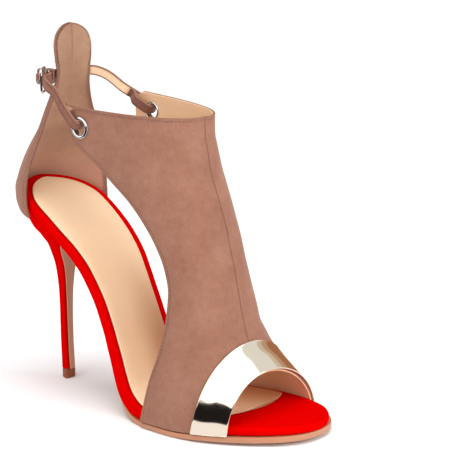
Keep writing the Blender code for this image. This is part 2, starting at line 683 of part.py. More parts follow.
def make_outsole(made, collection):
    """Leather outsole from the toe along the arch and down the breast of the heel."""
    path = outsole_path()
    on_heel = len(path) - len(HEEL_ROWS) - len(BREAST_TURNS)
    rings = []
    for i, (point, shift, half, thickness) in enumerate(path):
        ahead = path[min(i + 1, len(path) - 1)][0]
        behind = path[max(i - 1, 0)][0]
        along = (behind - ahead).normalized()
        down = Vector((along.y, -along.x))
        lift = CLEARANCE if i >= on_heel else 0.0
        section = slab_section(half, lift, lift + thickness, OUTSOLE_EDGE_RADIUS)
        rings.append([Vector((point.x + down.x * depth, shift + share * half,
                              max(0.0, point.y + down.y * depth))) for share, depth in section])
    return loft("outsole", rings, made, collection)


def heel_ring(front, back, half, shift, square):
    """Outline of the heel at one row: flat breast in front, round behind."""
    reach = back - front
    ring = []
    for turn in np.linspace(-pi / 2, pi / 2, 21):
        c = max(cos(turn), 0.0)**(2 / square)
        s = abs(sin(turn))**(2 / square)
        side = -1 if turn < 0 else 1
        ring.append(Vector((front.x + reach.x * c, shift + side * half * s, front.y + reach.y * c)))
    return ring


def make_seat_cutter(made, cutters, collection):
    """Body above the underside of the seat, to cut the heel to it."""
    wide = 0.6 * BALL_WIDTH
    high = 0.5 * SEAT_HEIGHT
    slant = 0.15 * SEAT_HEIGHT
    unders = [bed_under(at) for at in spread(0.0, SEAT_CUT_END, 22)]
    unders.insert(0, unders[0] + (bed_under(0.0) - bed_under(0.05)) * 3)
    rings = [[Vector((under.x, -wide, under.y)), Vector((under.x, wide, under.y)),
              Vector((under.x + slant, wide, under.y + high)),
              Vector((under.x + slant, -wide, under.y + high))] for under in unders]
    cutter = loft("seat_cutter", rings, made, collection)
    hide_cutter(cutter, cutters)
    return cutter


def make_heel(made, cutters, collection):
    """Covered stiletto heel, cut to the underside of the seat."""
    stem, turn = breast_line()
    stem[0] = Vector((stem[0].x, HEEL_TIP_HEIGHT + CLEARANCE))
    rings = []
    for row, front in zip(HEEL_ROWS, stem):
        back = Vector((row.back * FOOT_LENGTH, front.y))
        rings.append(heel_ring(front, back, row.half * BALL_WIDTH, 0.0, STEM_SQUARE))
    shift = float(bed_shift(BREAST_STATION))
    for row, front in zip(SEAT_ROWS, turn):
        back = Vector((row.back * FOOT_LENGTH, row.up * SEAT_HEIGHT))
        rings.append(heel_ring(front, back, row.half * BALL_WIDTH, shift, SEAT_SQUARE))
    lift = Vector((0, 0, SEAT_OVERREACH * SEAT_HEIGHT))
    rings.append([point + lift for point in rings[-1]])
    heel = loft("heel", rings, made, collection)
    cut = heel.modifiers.new("seat", "BOOLEAN")
    cut.object = make_seat_cutter(made, cutters, collection)
    cut.operation = "DIFFERENCE"
    return heel


def make_heel_tip(made, collection):
    """Hard top piece that the heel stands on."""
    rings = []
    foot_edge_height = 0.0003
    foot_share = 0.94
    for up, grow in ((0.0, foot_share), (foot_edge_height, 1.0), (HEEL_TIP_HEIGHT, 1.0)):
        front = Vector((HEEL_TIP_DEPTH / 2 * grow, up))
        back = Vector((-HEEL_TIP_DEPTH / 2 * grow, up))
        rings.append(heel_ring(front, back, HEEL_TIP_HALF_WIDTH * grow, 0.0, STEM_SQUARE))
    return loft("heel_tip", rings, made, collection)


# Metal and straps

def placed(centre, normal, along=Vector((0, 0, 1))):
    """Matrix that stands a piece's Z along the normal and its X near the given direction."""
    z = normal.normalized()
    x = (along - along.dot(z) * z).normalized()
    y = z.cross(x)
    turn = Matrix((x, y, z)).transposed().to_4x4()
    return Matrix.Translation(centre) @ turn


def hide_cutter(cutter, cutters):
    """Keep a cutting body out of the model."""
    for holder in list(cutter.users_collection):
        holder.objects.unlink(cutter)
    cutters.objects.link(cutter)
    cutter.hide_render = True
    cutter.display_type = "WIRE"


def eyelet_place(side):
    """Middle of an eyelet on the vamp's outer face, and the face's normal there."""
    row, across = (OUTER_EYELET_ROW, OUTER_EYELET_ACROSS)
    if side > 0:
        row, across = (INNER_EYELET_ROW, INNER_EYELET_ACROSS)
    return vamp_point(row, across), outward(vamp_point, row, across)


def make_eyelet(name, side, made, collection):
    """Turned eyelet: a barrel through the wall with a rolled flange on each face."""
    bore = EYELET_BORE_RADIUS
    barrel = bore + EYELET_BARREL_WALL
    rim = EYELET_FLANGE_RADIUS
    inner_rim = EYELET_INNER_FLANGE_SHARE * rim
    top = CLEARANCE + EYELET_FLANGE_HEIGHT
    under = -UPPER_WALL - 3 * CLEARANCE
    foot = under - EYELET_INNER_FLANGE_HEIGHT
    profile = [
        (bore + EYELET_ROUND, top - EYELET_ROUND),
        (bore + 3 * EYELET_ROUND, top),
        (rim - 2 * EYELET_ROUND, CLEARANCE + 2 * EYELET_ROUND),
        (rim, CLEARANCE),
        (barrel, CLEARANCE),
        (barrel, under),
        (inner_rim, under),
        (inner_rim - EYELET_ROUND, foot + EYELET_ROUND / 3),
        (bore + EYELET_ROUND, foot),
        (bore, foot + EYELET_ROUND),
        (bore, top - 2 * EYELET_ROUND),
    ]
    mesh = bpy.data.meshes.new(name)
    edges = [(i, (i + 1) % len(profile)) for i in range(len(profile))]
    mesh.from_pydata([(radius, 0, up) for radius, up in profile], edges, [])
    piece = add_object(name, mesh, made, collection)
    turned = piece.modifiers.new("turned", "SCREW")
    turned.angle = 2 * pi
    turned.steps = EYELET_STEPS
    turned.render_steps = EYELET_STEPS
    turned.use_merge_vertices = True
    turned.merge_threshold = 0.00001
    turned.use_smooth_shade = True
    piece.matrix_world = placed(*eyelet_place(side))
    return piece


def edge_reach(side, centre, pull, across):
    """Distance from an eyelet to the vamp's edge along the strap that pulls on it."""
    edge = [vamp_edge(row, side) for row in np.linspace(0, VAMP_CORNER_ROWS, 17)]
    edge += [vamp_point(0, side * share) for share in np.linspace(VAMP_CORNER_SHARE, 1, 11)]
    ahead = [point - centre for point in edge if (point - centre).dot(pull) > 0]
    nearest = min(ahead, key=lambda offset: abs(offset.dot(across)))
    return nearest.dot(pull)


def eyelet_loop(side, towards):
    """Strap route round the vamp's rear edge and through an eyelet, tail first, and its width."""
    centre, normal = eyelet_place(side)
    goal = towards - centre
    pull = (goal - goal.dot(normal) * normal).normalized()
    across = normal.cross(pull)
    across = across if across.z > 0 else -across
    above = EYELET_FLANGE_HEIGHT + 3 * CLEARANCE + STRAP_THICKNESS / 2
    below = -UPPER_WALL - EYELET_INNER_FLANGE_HEIGHT - 6 * CLEARANCE - STRAP_THICKNESS / 2
    edge = edge_reach(side, centre, pull, across)
    bore = EYELET_BORE_RADIUS
    fold = STRAP_THICKNESS + 2 * CLEARANCE

    def outside(past):
        """Reach and lift of the strap past the vamp's edge, on its way to the free stretch."""
        share = past / (goal.dot(pull) - edge)
        return edge + past, above + (goal.dot(normal) - above) * share**LOOP_EASE

    tail = [outside(past) for past in LOOP_TAIL_REACHES]
    inside = [(edge + past, depth * below) for past, depth in LOOP_INSIDE]
    through = [(reach * bore, lift * (above if lift > 0 else -below)) for reach, lift in LOOP_THROUGH]
    route = [(reach, lift - fold) for reach, lift in tail] + inside + through
    route += [(edge - 0.0025, above)] + [outside(past) for past in LOOP_OUTSIDE_REACHES]
    points = [centre + pull * reach + normal * lift for reach, lift in route]
    return points, [across] * len(points)


def buckle_axes():
    """Middle of the buckle, and unit vectors along its strap, away from the leg and upwards."""
    centre = Vector((BUCKLE_ALONG * FOOT_LENGTH, -BUCKLE_OUT * BALL_WIDTH, BUCKLE_UP * TAB_HEIGHT))
    along = Vector(BUCKLE_FORWARD).normalized()
    away = Vector(BUCKLE_AWAY)
    away = (away - away.dot(along) * along).normalized()
    up = away.cross(along)
    return centre, along, away, up if up.z > 0 else -up


def by_buckle(rows):
    """Points given by their reach along the buckle's strap and their lift away from the leg."""
    centre, along, away, up = buckle_axes()
    return [centre + along * reach + away * lift for reach, lift in rows], [up] * len(rows)


def route_points(rows):
    """Free points of a strap: shares of FOOT_LENGTH, BALL_WIDTH and TAB_HEIGHT."""
    points = [Vector((along * FOOT_LENGTH, out * BALL_WIDTH, up * TAB_HEIGHT))
              for along, out, up in rows]
    return points, [Vector(FREE_STRAP_UP)] * len(rows)


def behind_tab():
    """Strap route across the back of the tab, inner side first."""
    lift = STRAP_THICKNESS / 2 + 2 * CLEARANCE
    points = []
    widths = []
    for across in TAB_STRAP_SHARES:
        face = counter_point(TAB_STRAP_ROW, across)
        points.append(face + outward(counter_point, TAB_STRAP_ROW, across) * lift)
        above = counter_point(TAB_STRAP_ROW + 0.5, across)
        below = counter_point(TAB_STRAP_ROW - 0.5, across)
        widths.append((above - below).normalized())
    return points, widths


def joined(*routes):
    """One list of points and one of widths from several routes."""
    return [sum((route[k] for route in routes), []) for k in (0, 1)]


def make_ankle_strap(made, collection):
    """Long strap: inner eyelet, behind the tab, and folded round the buckle's heel bar."""
    free = route_points(INNER_ROUTE)
    fold = by_buckle([(FOLD_RADIUS * past - BUCKLE_LENGTH / 2, FOLD_RADIUS * lift)
                      for past, lift in FOLD_ROWS])
    points, widths = joined(eyelet_loop(1, free[0][0]), free, behind_tab(), fold)
    return ribbon("ankle_strap", points, widths, STRAP_WIDTH, STRAP_THICKNESS, made, collection)


def make_buckle_strap(made, cutters, collection):
    """Short strap: outer eyelet, under the buckle's front bar and out over its heel bar."""
    free = route_points(OUTER_ROUTE)
    through = by_buckle([(reach * BUCKLE_LENGTH / 2, lift * (STACK_LIFT if lift > 0 else FOLD_RADIUS))
                         for reach, lift in THROUGH_ROWS])
    points, widths = joined(eyelet_loop(-1, free[0][0]), free, through)
    strap = ribbon("buckle_strap", points, widths, STRAP_WIDTH, STRAP_THICKNESS, made, collection)
    start, end = prong_line()
    bpy.ops.mesh.primitive_cylinder_add(vertices=16, radius=2 * PRONG_RADIUS,
                                        depth=2 * BUCKLE_LENGTH)
    cutter = bpy.context.object
    cutter.name = "prong_cutter"
    cutter.matrix_world = placed((start + end) / 2, end - start, buckle_axes()[3])
    hide_cutter(cutter, cutters)
    cut = strap.modifiers.new("prong hole", "BOOLEAN")
    cut.object = cutter
    cut.operation = "DIFFERENCE"
    return strap


def prong_line():
    """Ends of the prong, from the strap's fold to just past the front bar."""
    bar = BUCKLE_LENGTH / 2
    fold = FOLD_RADIUS + STRAP_THICKNESS / 2 + BUCKLE_CLEARANCE
    rest = BUCKLE_WIRE_RADIUS + 2 * CLEARANCE + PRONG_RADIUS
    return by_buckle([(fold - bar, 0.0), (bar + 2 * PRONG_RADIUS, rest)])[0]


def wire(name, points, radius, closed, made, collection):
    """Round wire through the points."""
    curve = bpy.data.curves.new(name, "CURVE")
    curve.dimensions = "3D"
    curve.bevel_depth = radius
    curve.bevel_resolution = 2
    curve.use_fill_caps = not closed
    line = curve.splines.new("POLY")
    line.points.add(len(points) - 1)
    for place, point in zip(line.points, points):
        place.co = (*point, 1.0)
    line.use_cyclic_u = closed
    curve.materials.append(made)
    piece = bpy.data.objects.new(name, curve)
    collection.objects.link(piece)
    return piece


def rounded_rectangle(half_x, half_y, radius, steps):
    """Outline of a rectangle with round corners, as XY pairs."""
    outline = []
    corners = [(1, 1, 0), (-1, 1, pi / 2), (-1, -1, pi), (1, -1, 3 * pi / 2)]
    for x, y, start in corners:
        for i in range(steps + 1):
            turn = start + pi / 2 * i / steps
            outline.append((x * (half_x - radius) + radius * cos(turn),
                            y * (half_y - radius) + radius * sin(turn)))
    return outline


def make_buckle(made, collection):
    """Rectangular wire frame of the buckle."""
    centre, along, away, up = buckle_axes()
    outline = rounded_rectangle(BUCKLE_LENGTH / 2, BUCKLE_HEIGHT / 2, BUCKLE_CORNER_RADIUS, 4)
    points = [centre + along * x + up * y for x, y in outline]
    return wire("buckle_frame", points, BUCKLE_WIRE_RADIUS, True, made, collection)


def make_prong(made, collection):
    """Prong through the strap, its tip on the buckle's front bar."""
    start, end = prong_line()
    return wire("buckle_prong", [start, (start + end) / 2, end], PRONG_RADIUS, False, made, collection)


def make_keeper(made, collection):
    """Leather keeper round the strap's layers beside the buckle."""
    centre, along, away, up = buckle_axes()
    place = -BUCKLE_LENGTH / 2 - KEEPER_REACH
    room = STRAP_THICKNESS / 2 + KEEPER_PLAY
    low = FOLD_ROWS[0][1] * FOLD_RADIUS - room
    high = KEEPER_STACK * STACK_LIFT + room
    half_away = (high - low + KEEPER_THICKNESS) / 2
    half_up = (STRAP_WIDTH + KEEPER_THICKNESS) / 2 + KEEPER_PLAY
    outline = rounded_rectangle(half_away, half_up, KEEPER_THICKNESS, 3)
    middle = centre + along * place + away * (low + high) / 2
    points = [middle + away * x + up * y for x, y in outline]
    return ribbon("keeper_loop", points, [along] * len(points), KEEPER_WIDTH, KEEPER_THICKNESS,
                  made, collection, closed=True)


def make_tab_loop(made, collection):
    """Leather loop sewn behind the tab, which holds the ankle strap."""
    lie = CLEARANCE + TAB_LOOP_THICKNESS / 2
    bulge = STRAP_THICKNESS + 4 * CLEARANCE + TAB_LOOP_THICKNESS / 2
    points = []
    for step, share in TAB_LOOP_ROWS:
        row = TAB_STRAP_ROW + step
        lift = max(lie, share * bulge)
        points.append(counter_point(row, 0) + outward(counter_point, row, 0.0) * lift)
    return ribbon("tab_loop", points, [Vector((0, 1, 0))] * len(points), TAB_LOOP_WIDTH,
                  TAB_LOOP_THICKNESS, made, collection)


def main():
    """Build every piece of the sandal."""
    for old in list(bpy.data.objects):
        bpy.data.objects.remove(old, do_unlink=True)
    parts = bpy.data.collections.new(OBJECT_NAME)
    cutters = bpy.data.collections.new("cutters")
    for made in (parts, cutters):
        bpy.context.scene.collection.children.link(made)

    suede = material("suede", (0.38, 0.22, 0.16), 0.9)
    lining = material("lining_leather", (0.80, 0.55, 0.34), 0.5)
    red = material("red_suede", (0.75, 0.0, 0.0), 0.8)
    gold = material("mirror_gold", (0.88, 0.80, 0.62), 0.08, 1.0)
    tan = material("sole_leather", (0.72, 0.45, 0.30), 0.4)
    brown = material("tip_rubber", (0.16, 0.06, 0.03), 0.5)
    silver = material("polished_metal", (0.82, 0.82, 0.82), 0.15, 1.0)

    make_outsole(tan, parts)
    make_board(red, parts)
    make_sock(lining, parts)
    make_heel(red, cutters, parts)
    make_heel_tip(brown, parts)
    make_vamp(suede, cutters, parts)
    make_toe_band(gold, parts)
    make_counter(suede, parts)
    make_eyelet("eyelet_outer", -1, silver, parts)
    make_eyelet("eyelet_inner", 1, silver, parts)
    make_ankle_strap(suede, parts)
    make_buckle_strap(suede, cutters, parts)
    make_buckle(silver, parts)
    make_prong(silver, parts)
    make_keeper(suede, parts)
    make_tab_loop(suede, parts)


main()
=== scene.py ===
"""Strappy high heel sandal, right foot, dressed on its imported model.

Metres, in the model's frame: the origin is the middle of the heel tip's foot, +X runs to the
toe and +Y to the inner side of the foot.
"""
from collections import namedtuple
from functools import partial
from math import cos, pi, radians, sin, sqrt

import bmesh
import bpy
import numpy as np
from mathutils import Matrix, Vector


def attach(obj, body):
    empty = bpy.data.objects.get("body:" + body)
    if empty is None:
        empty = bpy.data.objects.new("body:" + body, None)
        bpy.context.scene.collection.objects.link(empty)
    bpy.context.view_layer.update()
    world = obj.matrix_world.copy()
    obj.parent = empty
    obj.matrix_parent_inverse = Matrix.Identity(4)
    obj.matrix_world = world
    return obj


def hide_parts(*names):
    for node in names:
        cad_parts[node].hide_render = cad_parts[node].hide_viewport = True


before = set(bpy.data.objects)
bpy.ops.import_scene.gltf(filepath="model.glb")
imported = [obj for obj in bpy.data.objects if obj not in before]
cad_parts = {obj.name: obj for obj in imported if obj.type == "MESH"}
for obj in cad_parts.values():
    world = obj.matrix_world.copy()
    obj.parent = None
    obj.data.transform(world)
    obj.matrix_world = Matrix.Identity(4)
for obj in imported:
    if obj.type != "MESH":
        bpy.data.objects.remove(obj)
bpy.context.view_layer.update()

# Driving sizes, as in the model
FOOT_LENGTH = 0.1971
BALL_WIDTH = 0.0736
HEEL_RISE = 0.1092
SEAT_SETBACK = 0.0204
COLLAR_HEIGHT = 0.1630
TAB_HEIGHT = 0.2060

# Layers of the sole
OUTSOLE_THICKNESS = 0.0029
SHANK_SOLE_THICKNESS = 0.0013
OUTSOLE_LEDGE = 0.0022
OUTSOLE_EDGE_RADIUS = 0.0006
LEDGE_STATIONS = (0.575, 0.665)
TREAD_STATIONS = (0.560, 0.660)
SHANK_SOLE_INSET = 0.0030
BOARD_THICKNESS = 0.0050
SHANK_BOARD_THICKNESS = 0.0064
WAIST_BOARD_THICKNESS = 0.0080
TOE_BOARD_THICKNESS = 0.0039
BOARD_EDGE_RADIUS = 0.0015
SOCK_THICKNESS = 0.0012
SOCK_INSET = 0.0023
SOCK_FRONT_STATION = 0.807
SOCK_FRONT_SKEW = 0.020
SOCK_FRONT_BOW = 0.038
SOCK_INNER_RIM = 0.0040
SOCK_REAR_RIM = 0.0026
SOCK_REAR_ROUND = 0.12
SOCK_LIFT = 0.0004
BALL_STATION = 0.69
CLEARANCE = 0.0003
BALL_TOP = OUTSOLE_THICKNESS + CLEARANCE + BOARD_THICKNESS
SEAT_HEIGHT = BALL_TOP + HEEL_RISE

# Heel
HEEL_TIP_HEIGHT = 0.0056
HEEL_TIP_DEPTH = 0.0064
HEEL_TIP_HALF_WIDTH = 0.0036
BREAST_STATION = 0.150
BREAST_BLEND_STATION = 0.225
SHANK_SOLE_END = 0.250
SEAT_OVERREACH = 0.25
SEAT_CUT_END = 0.45
SEAT_SQUARE = 2.4
BREAST_TURNS = (0.2, 0.4, 0.6, 0.8, 1.0)
STRIP_TAPER_UPS = (0.0, 0.30, 0.62, 0.80)
STRIP_TAPER_SHARES = (0.50, 0.58, 0.86, 1.0)
HEEL_CORNER_SHARE = 0.28

# Upper
FOOT_CLEARANCE = 0.0005
FOOT_LEAN = 0.030
UPPER_WALL = 0.0018
SUEDE_LAYER = 0.0011
COUNTER_WALL = 0.0021
LAYER_GAP = 0.00005
BAND_THICKNESS = 0.0008
BAND_REAR_ROW = 19.0
VAMP_FRONT_ROW = 20.92

# Straps and metal
STRAP_WIDTH = 0.0056
STRAP_THICKNESS = 0.0018
EYELET_BORE_RADIUS = 0.0040
EYELET_BARREL_WALL = 0.0004
EYELET_FLANGE_RADIUS = 0.0060
EYELET_FLANGE_HEIGHT = 0.0009
EYELET_INNER_FLANGE_HEIGHT = 0.0005
EYELET_INNER_FLANGE_SHARE = 0.86
EYELET_SEAT_GAP = 0.00006
OUTER_EYELET = (2.62, -0.900)
INNER_EYELET = (2.35, 0.850)
BUCKLE_LENGTH = 0.0085
BUCKLE_HEIGHT = 0.0128
BUCKLE_WIRE_RADIUS = 0.0007
BUCKLE_CORNER_RADIUS = 0.0020
BUCKLE_CLEARANCE = 0.0004
PRONG_RADIUS = 0.0005
PRONG_BOW = 0.00012
KEEPER_WIDTH = 0.0030
KEEPER_THICKNESS = 0.0009
KEEPER_REACH = 0.0055
KEEPER_PLAY = 0.0004
KEEPER_STACK = 0.88
TAB_LOOP_WIDTH = 0.0105
TAB_LOOP_THICKNESS = 0.0011
LOOP_EASE = 1.4
LOOP_SAG = 0.0026
LOOP_TAIL_REACHES = (0.0052, 0.0040)
LOOP_INSIDE = ((0.0020, 0.60), (-0.0004, 0.88), (-0.0030, 1.0))
LOOP_THROUGH = ((1.05, -1.0), (0.55, -0.88), (0.34, -0.50), (0.34, 0.22), (0.55, 0.86),
                (1.05, 1.0))
LOOP_OUTSIDE_REACHES = (0.0012, 0.0042)
BUCKLE_MIDDLE = (0.0619 * FOOT_LENGTH, -0.344 * BALL_WIDTH, 0.858 * TAB_HEIGHT)
BUCKLE_FORWARD = (0.50, -0.86, -0.10)
BUCKLE_AWAY = (-0.865, -0.50, 0.0)
FOLD_RADIUS = BUCKLE_WIRE_RADIUS + BUCKLE_CLEARANCE + STRAP_THICKNESS / 2
FOLD_ROWS = ((-2.9, -0.65), (-1.4, -1.0), (0.0, -1.0), (0.7, -0.7), (1.0, 0.0), (0.7, 0.7),
             (0.0, 1.0), (-1.4, 0.9), (-2.9, 0.6), (-3.5, 0.55))
STACK_LIFT = FOLD_RADIUS + STRAP_THICKNESS + BUCKLE_CLEARANCE
THROUGH_ROWS = ((1.0, -1.0), (0.5, -0.75), (0.07, 0.07), (-0.33, 0.60), (-0.70, 0.92),
                (-1.08, 1.0), (-1.65, 0.98), (-2.35, 0.86), (-3.0, 0.80))
TAB_LOOP_ROWS = ((-1.50, 0.0), (-1.10, 0.0), (-0.82, 0.62), (-0.60, 1.0), (0.0, 1.04),
                 (0.60, 1.0), (0.82, 0.62), (1.10, 0.0), (1.50, 0.0))
TAB_STRAP_ROW = 9.55
TAB_STRAP_SHARES = (0.62, 0.30, 0.0, -0.30, -0.62)
FREE_STRAP_UP = (0.15, 0.0, 1.0)
INNER_ROUTE = [(0.126, 0.325, 0.8215), (0.088, 0.268, 0.8530), (0.052, 0.214, 0.8665)]
OUTER_ROUTE = [(0.140, -0.430, 0.832), (0.114, -0.424, 0.844), (0.094, -0.406, 0.852)]

# Stitching and edges
STITCH_PITCH = 0.0021
STITCH_LENGTH = 0.0014
THREAD_RADIUS = 0.00019
STITCH_INSET = 0.0016
STRAP_STITCH_INSET = 0.0008
STRAP_STITCHED = (0.03, 0.97)
STRAP_STITCH_PITCH = 0.0016
STRAP_STITCH_LENGTH = 0.0011
STRAP_THREAD_RADIUS = 0.00013
LOOP_THREAD_RADIUS = 0.00014
STRAP_CROWN = 0.00012
STRAP_TURNED_SHARE = 0.13
STITCH_TROUGH = 0.00014
STITCH_TROUGH_WIDTH = 0.00045
SEAM_GROOVE = 0.00042
SEAM_GROOVE_WIDTH = 0.00035
SEAM_SWELL = 0.00030
SEAM_SWELL_WIDTH = 0.0011
EDGE_TONE_WIDTH = 0.0009
EDGE_TONE = 0.25
VAMP_LINING_WIDTH = 0.994
COUNTER_LINING_WIDTH = 0.985
LONG_STRAP_LINED = 0.66
LINING_SEAM_DEPTH = 0.00025
# Painted shade along the stitch grooves of a strap's suede face: strength and width
STRAP_STITCH_PAINTED_SHADE = 0.9
STRAP_STITCH_PAINTED_SHADE_WIDTH = 0.0003
# Dark red tone of the sock's side walls: partly a darker cut edge, partly painted shade and red
# bounce from the board
SOCK_EDGE_AND_PAINTED_SHADE = 0.8
# Painted shade on the sock, darker towards its inner side and its front beside the vamp: shares
# across and stations along where it fades in
SOCK_PAINTED_SHADE_ACROSS = (-0.45, 0.75)
SOCK_PAINTED_SHADE_ALONG = (0.28, 0.55)
# Strength of the painted shade on the sock and of the painted light low inside the counter's
# lining
PAINTED_LIGHT_AND_SHADE_TONE = 0.95
# Darker red line along the top of the outsole's edge, under the board: painted red bounce from the
# board, with its strength, place down the edge and width
SOLE_PAINTED_BOUNCE = 0.75
SOLE_PAINTED_BOUNCE_DEPTH = 0.04
SOLE_PAINTED_BOUNCE_WIDTH = 0.16
SOLE_EDGE_SHARE = 0.93
TAB_ROUND_ROW = 13.3
TAB_SEAM_END = 0.176
TAB_SEAM_FADE = 0.020
# Heights below which the counter's lining is painted lighter, standing in for light that falls
# short low inside the counter
PAINTED_LIGHT_HEIGHTS = (0.104, 0.150)
RIM_TURNS = (50, 18, -18, -50)
RIM_ROUND = 0.55
SHARP_ANGLE = radians(50)

# Each ring of a stitch: place along it, size, and lift in thread radii
STITCH_RINGS = ((-0.44, 0.55, -0.55), (-0.28, 0.95, 0.10), (0.0, 1.0, 0.30), (0.28, 0.95, 0.10),
                (0.44, 0.55, -0.55))
STITCH_SIDES = 6

# Shares across an upper beside its seam, where the grid is closest
SEAM_SHARES = (0.0025, 0.005, 0.008, 0.012, 0.017, 0.023, 0.03, 0.04, 0.055)

# Each fold: middle, direction it runs in, its half length and half width, and its height
FOLDS = (
    ((0.122, -0.012, 0.120), (0.5, -0.6, 0.3), (0.016, 0.0045), -0.00035),
    ((0.127, -0.010, 0.106), (0.4, -0.7, 0.2), (0.015, 0.0050), 0.00035),
    ((0.131, -0.012, 0.094), (0.4, -0.7, 0.1), (0.014, 0.0045), -0.00030),
    ((0.129, 0.014, 0.100), (0.4, 0.7, 0.2), (0.014, 0.0050), -0.00030),
    ((0.090, -0.036, 0.128), (0.9, 0.1, -0.4), (0.022, 0.0070), 0.00035),
    ((0.105, -0.036, 0.070), (0.3, 0.1, 1.0), (0.030, 0.0080), -0.00035),
)

# Footbed stations from heel to toe: place along the bed, shares of FOOT_LENGTH and HEEL_RISE
# for its middle line, shares of BALL_WIDTH for the sideways shift and the half width
Station = namedtuple("Station", "at along rise shift half")
FOOTBED = [Station(*row) for row in (
    (0.000, 0.000, 1.000, -0.004, 0.372),
    (0.050, 0.060, 0.964, -0.005, 0.376),
    (0.100, 0.116, 0.914, -0.007, 0.380),
    (0.150, 0.170, 0.855, -0.011, 0.380),
    (0.200, 0.221, 0.788, -0.014, 0.375),
    (0.250, 0.270, 0.719, -0.019, 0.357),
    (0.300, 0.315, 0.638, -0.027, 0.338),
    (0.350, 0.352, 0.545, -0.038, 0.321),
    (0.400, 0.384, 0.447, -0.046, 0.311),
    (0.450, 0.412, 0.345, -0.053, 0.311),
    (0.500, 0.440, 0.243, -0.061, 0.319),
    (0.550, 0.471, 0.143, -0.060, 0.348),
    (0.600, 0.509, 0.052, -0.050, 0.393),
    (0.650, 0.565, 0.005, -0.033, 0.446),
    (0.690, 0.614, 0.000, -0.016, 0.477),
    (0.745, 0.681, 0.000, 0.000, 0.506),
    (0.800, 0.750, 0.005, 0.018, 0.521),
    (0.850, 0.813, 0.008, 0.043, 0.529),
    (0.900, 0.876, 0.009, 0.074, 0.537),
    (0.950, 0.938, 0.010, 0.100, 0.550),
    (1.000, 1.000, 0.012, 0.109, 0.557),
)]
HEEL_ROUND = 0.130
TOE_ROUND = 0.300
BED_ENDS = (0.0006, 0.9994)

# Rows of the vamp above the sole, collar first: shares of FOOT_LENGTH (along), BALL_WIDTH (out)
# and COLLAR_HEIGHT (up) for the front seam and the two rear edges, and each row's squareness
VampRow = namedtuple("VampRow", "front_along front_up outer_along outer_out outer_up "
                                "inner_along inner_out inner_up outer_square inner_square")
VAMP_ROWS = [VampRow(*row) for row in (
    (0.641, 0.994, 0.315, 0.408, 1.012, 0.290, 0.394, 1.027, 2.50, 2.50),
    (0.641, 0.979, 0.295, 0.412, 0.995, 0.264, 0.401, 1.006, 2.50, 2.50),
    (0.641, 0.957, 0.288, 0.413, 0.969, 0.256, 0.405, 0.979, 2.50, 2.50),
    (0.642, 0.926, 0.287, 0.411, 0.933, 0.257, 0.405, 0.942, 2.50, 2.50),
    (0.648, 0.896, 0.295, 0.408, 0.902, 0.280, 0.401, 0.902, 2.50, 2.50),
    (0.653, 0.865, 0.328, 0.406, 0.870, 0.328, 0.397, 0.859, 2.50, 2.50),
    (0.660, 0.825, 0.386, 0.398, 0.826, 0.381, 0.390, 0.804, 2.50, 2.50),
    (0.672, 0.782, 0.442, 0.390, 0.773, 0.432, 0.380, 0.739, 2.50, 2.50),
    (0.688, 0.733, 0.500, 0.383, 0.718, 0.478, 0.367, 0.663, 2.50, 2.50),
    (0.704, 0.681, 0.551, 0.383, 0.656, 0.514, 0.357, 0.583, 2.50, 2.50),
    (0.719, 0.623, 0.594, 0.385, 0.589, 0.544, 0.353, 0.506, 2.50, 2.55),
    (0.730, 0.571, 0.625, 0.391, 0.518, 0.564, 0.353, 0.417, 2.45, 2.60),
    (0.742, 0.515, 0.639, 0.402, 0.445, 0.571, 0.364, 0.334, 2.40, 2.65),
    (0.753, 0.457, 0.636, 0.421, 0.356, 0.573, 0.385, 0.245, 2.35, 2.75),
    (0.763, 0.402, 0.622, 0.454, 0.258, 0.576, 0.412, 0.153, 2.30, 2.80),
    (0.771, 0.359, 0.594, 0.484, 0.150, 0.577, 0.432, 0.080, 2.30, 2.80),
)]

# Rows of the vamp that end on the sole, to the toe opening: the same for the front seam,
# and the footbed station where each side comes down
FootRow = namedtuple("FootRow", "front_along front_up outer_at inner_at outer_square inner_square")
VAMP_FOOT_ROWS = [FootRow(*row) for row in (
    (0.779, 0.328, 0.660, 0.664, 2.25, 2.70),
    (0.784, 0.307, 0.700, 0.705, 2.20, 2.50),
    (0.788, 0.294, 0.750, 0.765, 2.20, 2.25),
    (0.792, 0.283, 0.800, 0.825, 2.20, 2.02),
    (0.823, 0.244, 0.838, 0.860, 2.20, 1.95),
    (0.855, 0.201, 0.873, 0.893, 2.20, 1.95),
)]
FOOT_FIRST_ROW = len(VAMP_ROWS)
VAMP_LAST_ROW = len(VAMP_ROWS) + len(VAMP_FOOT_ROWS) - 1

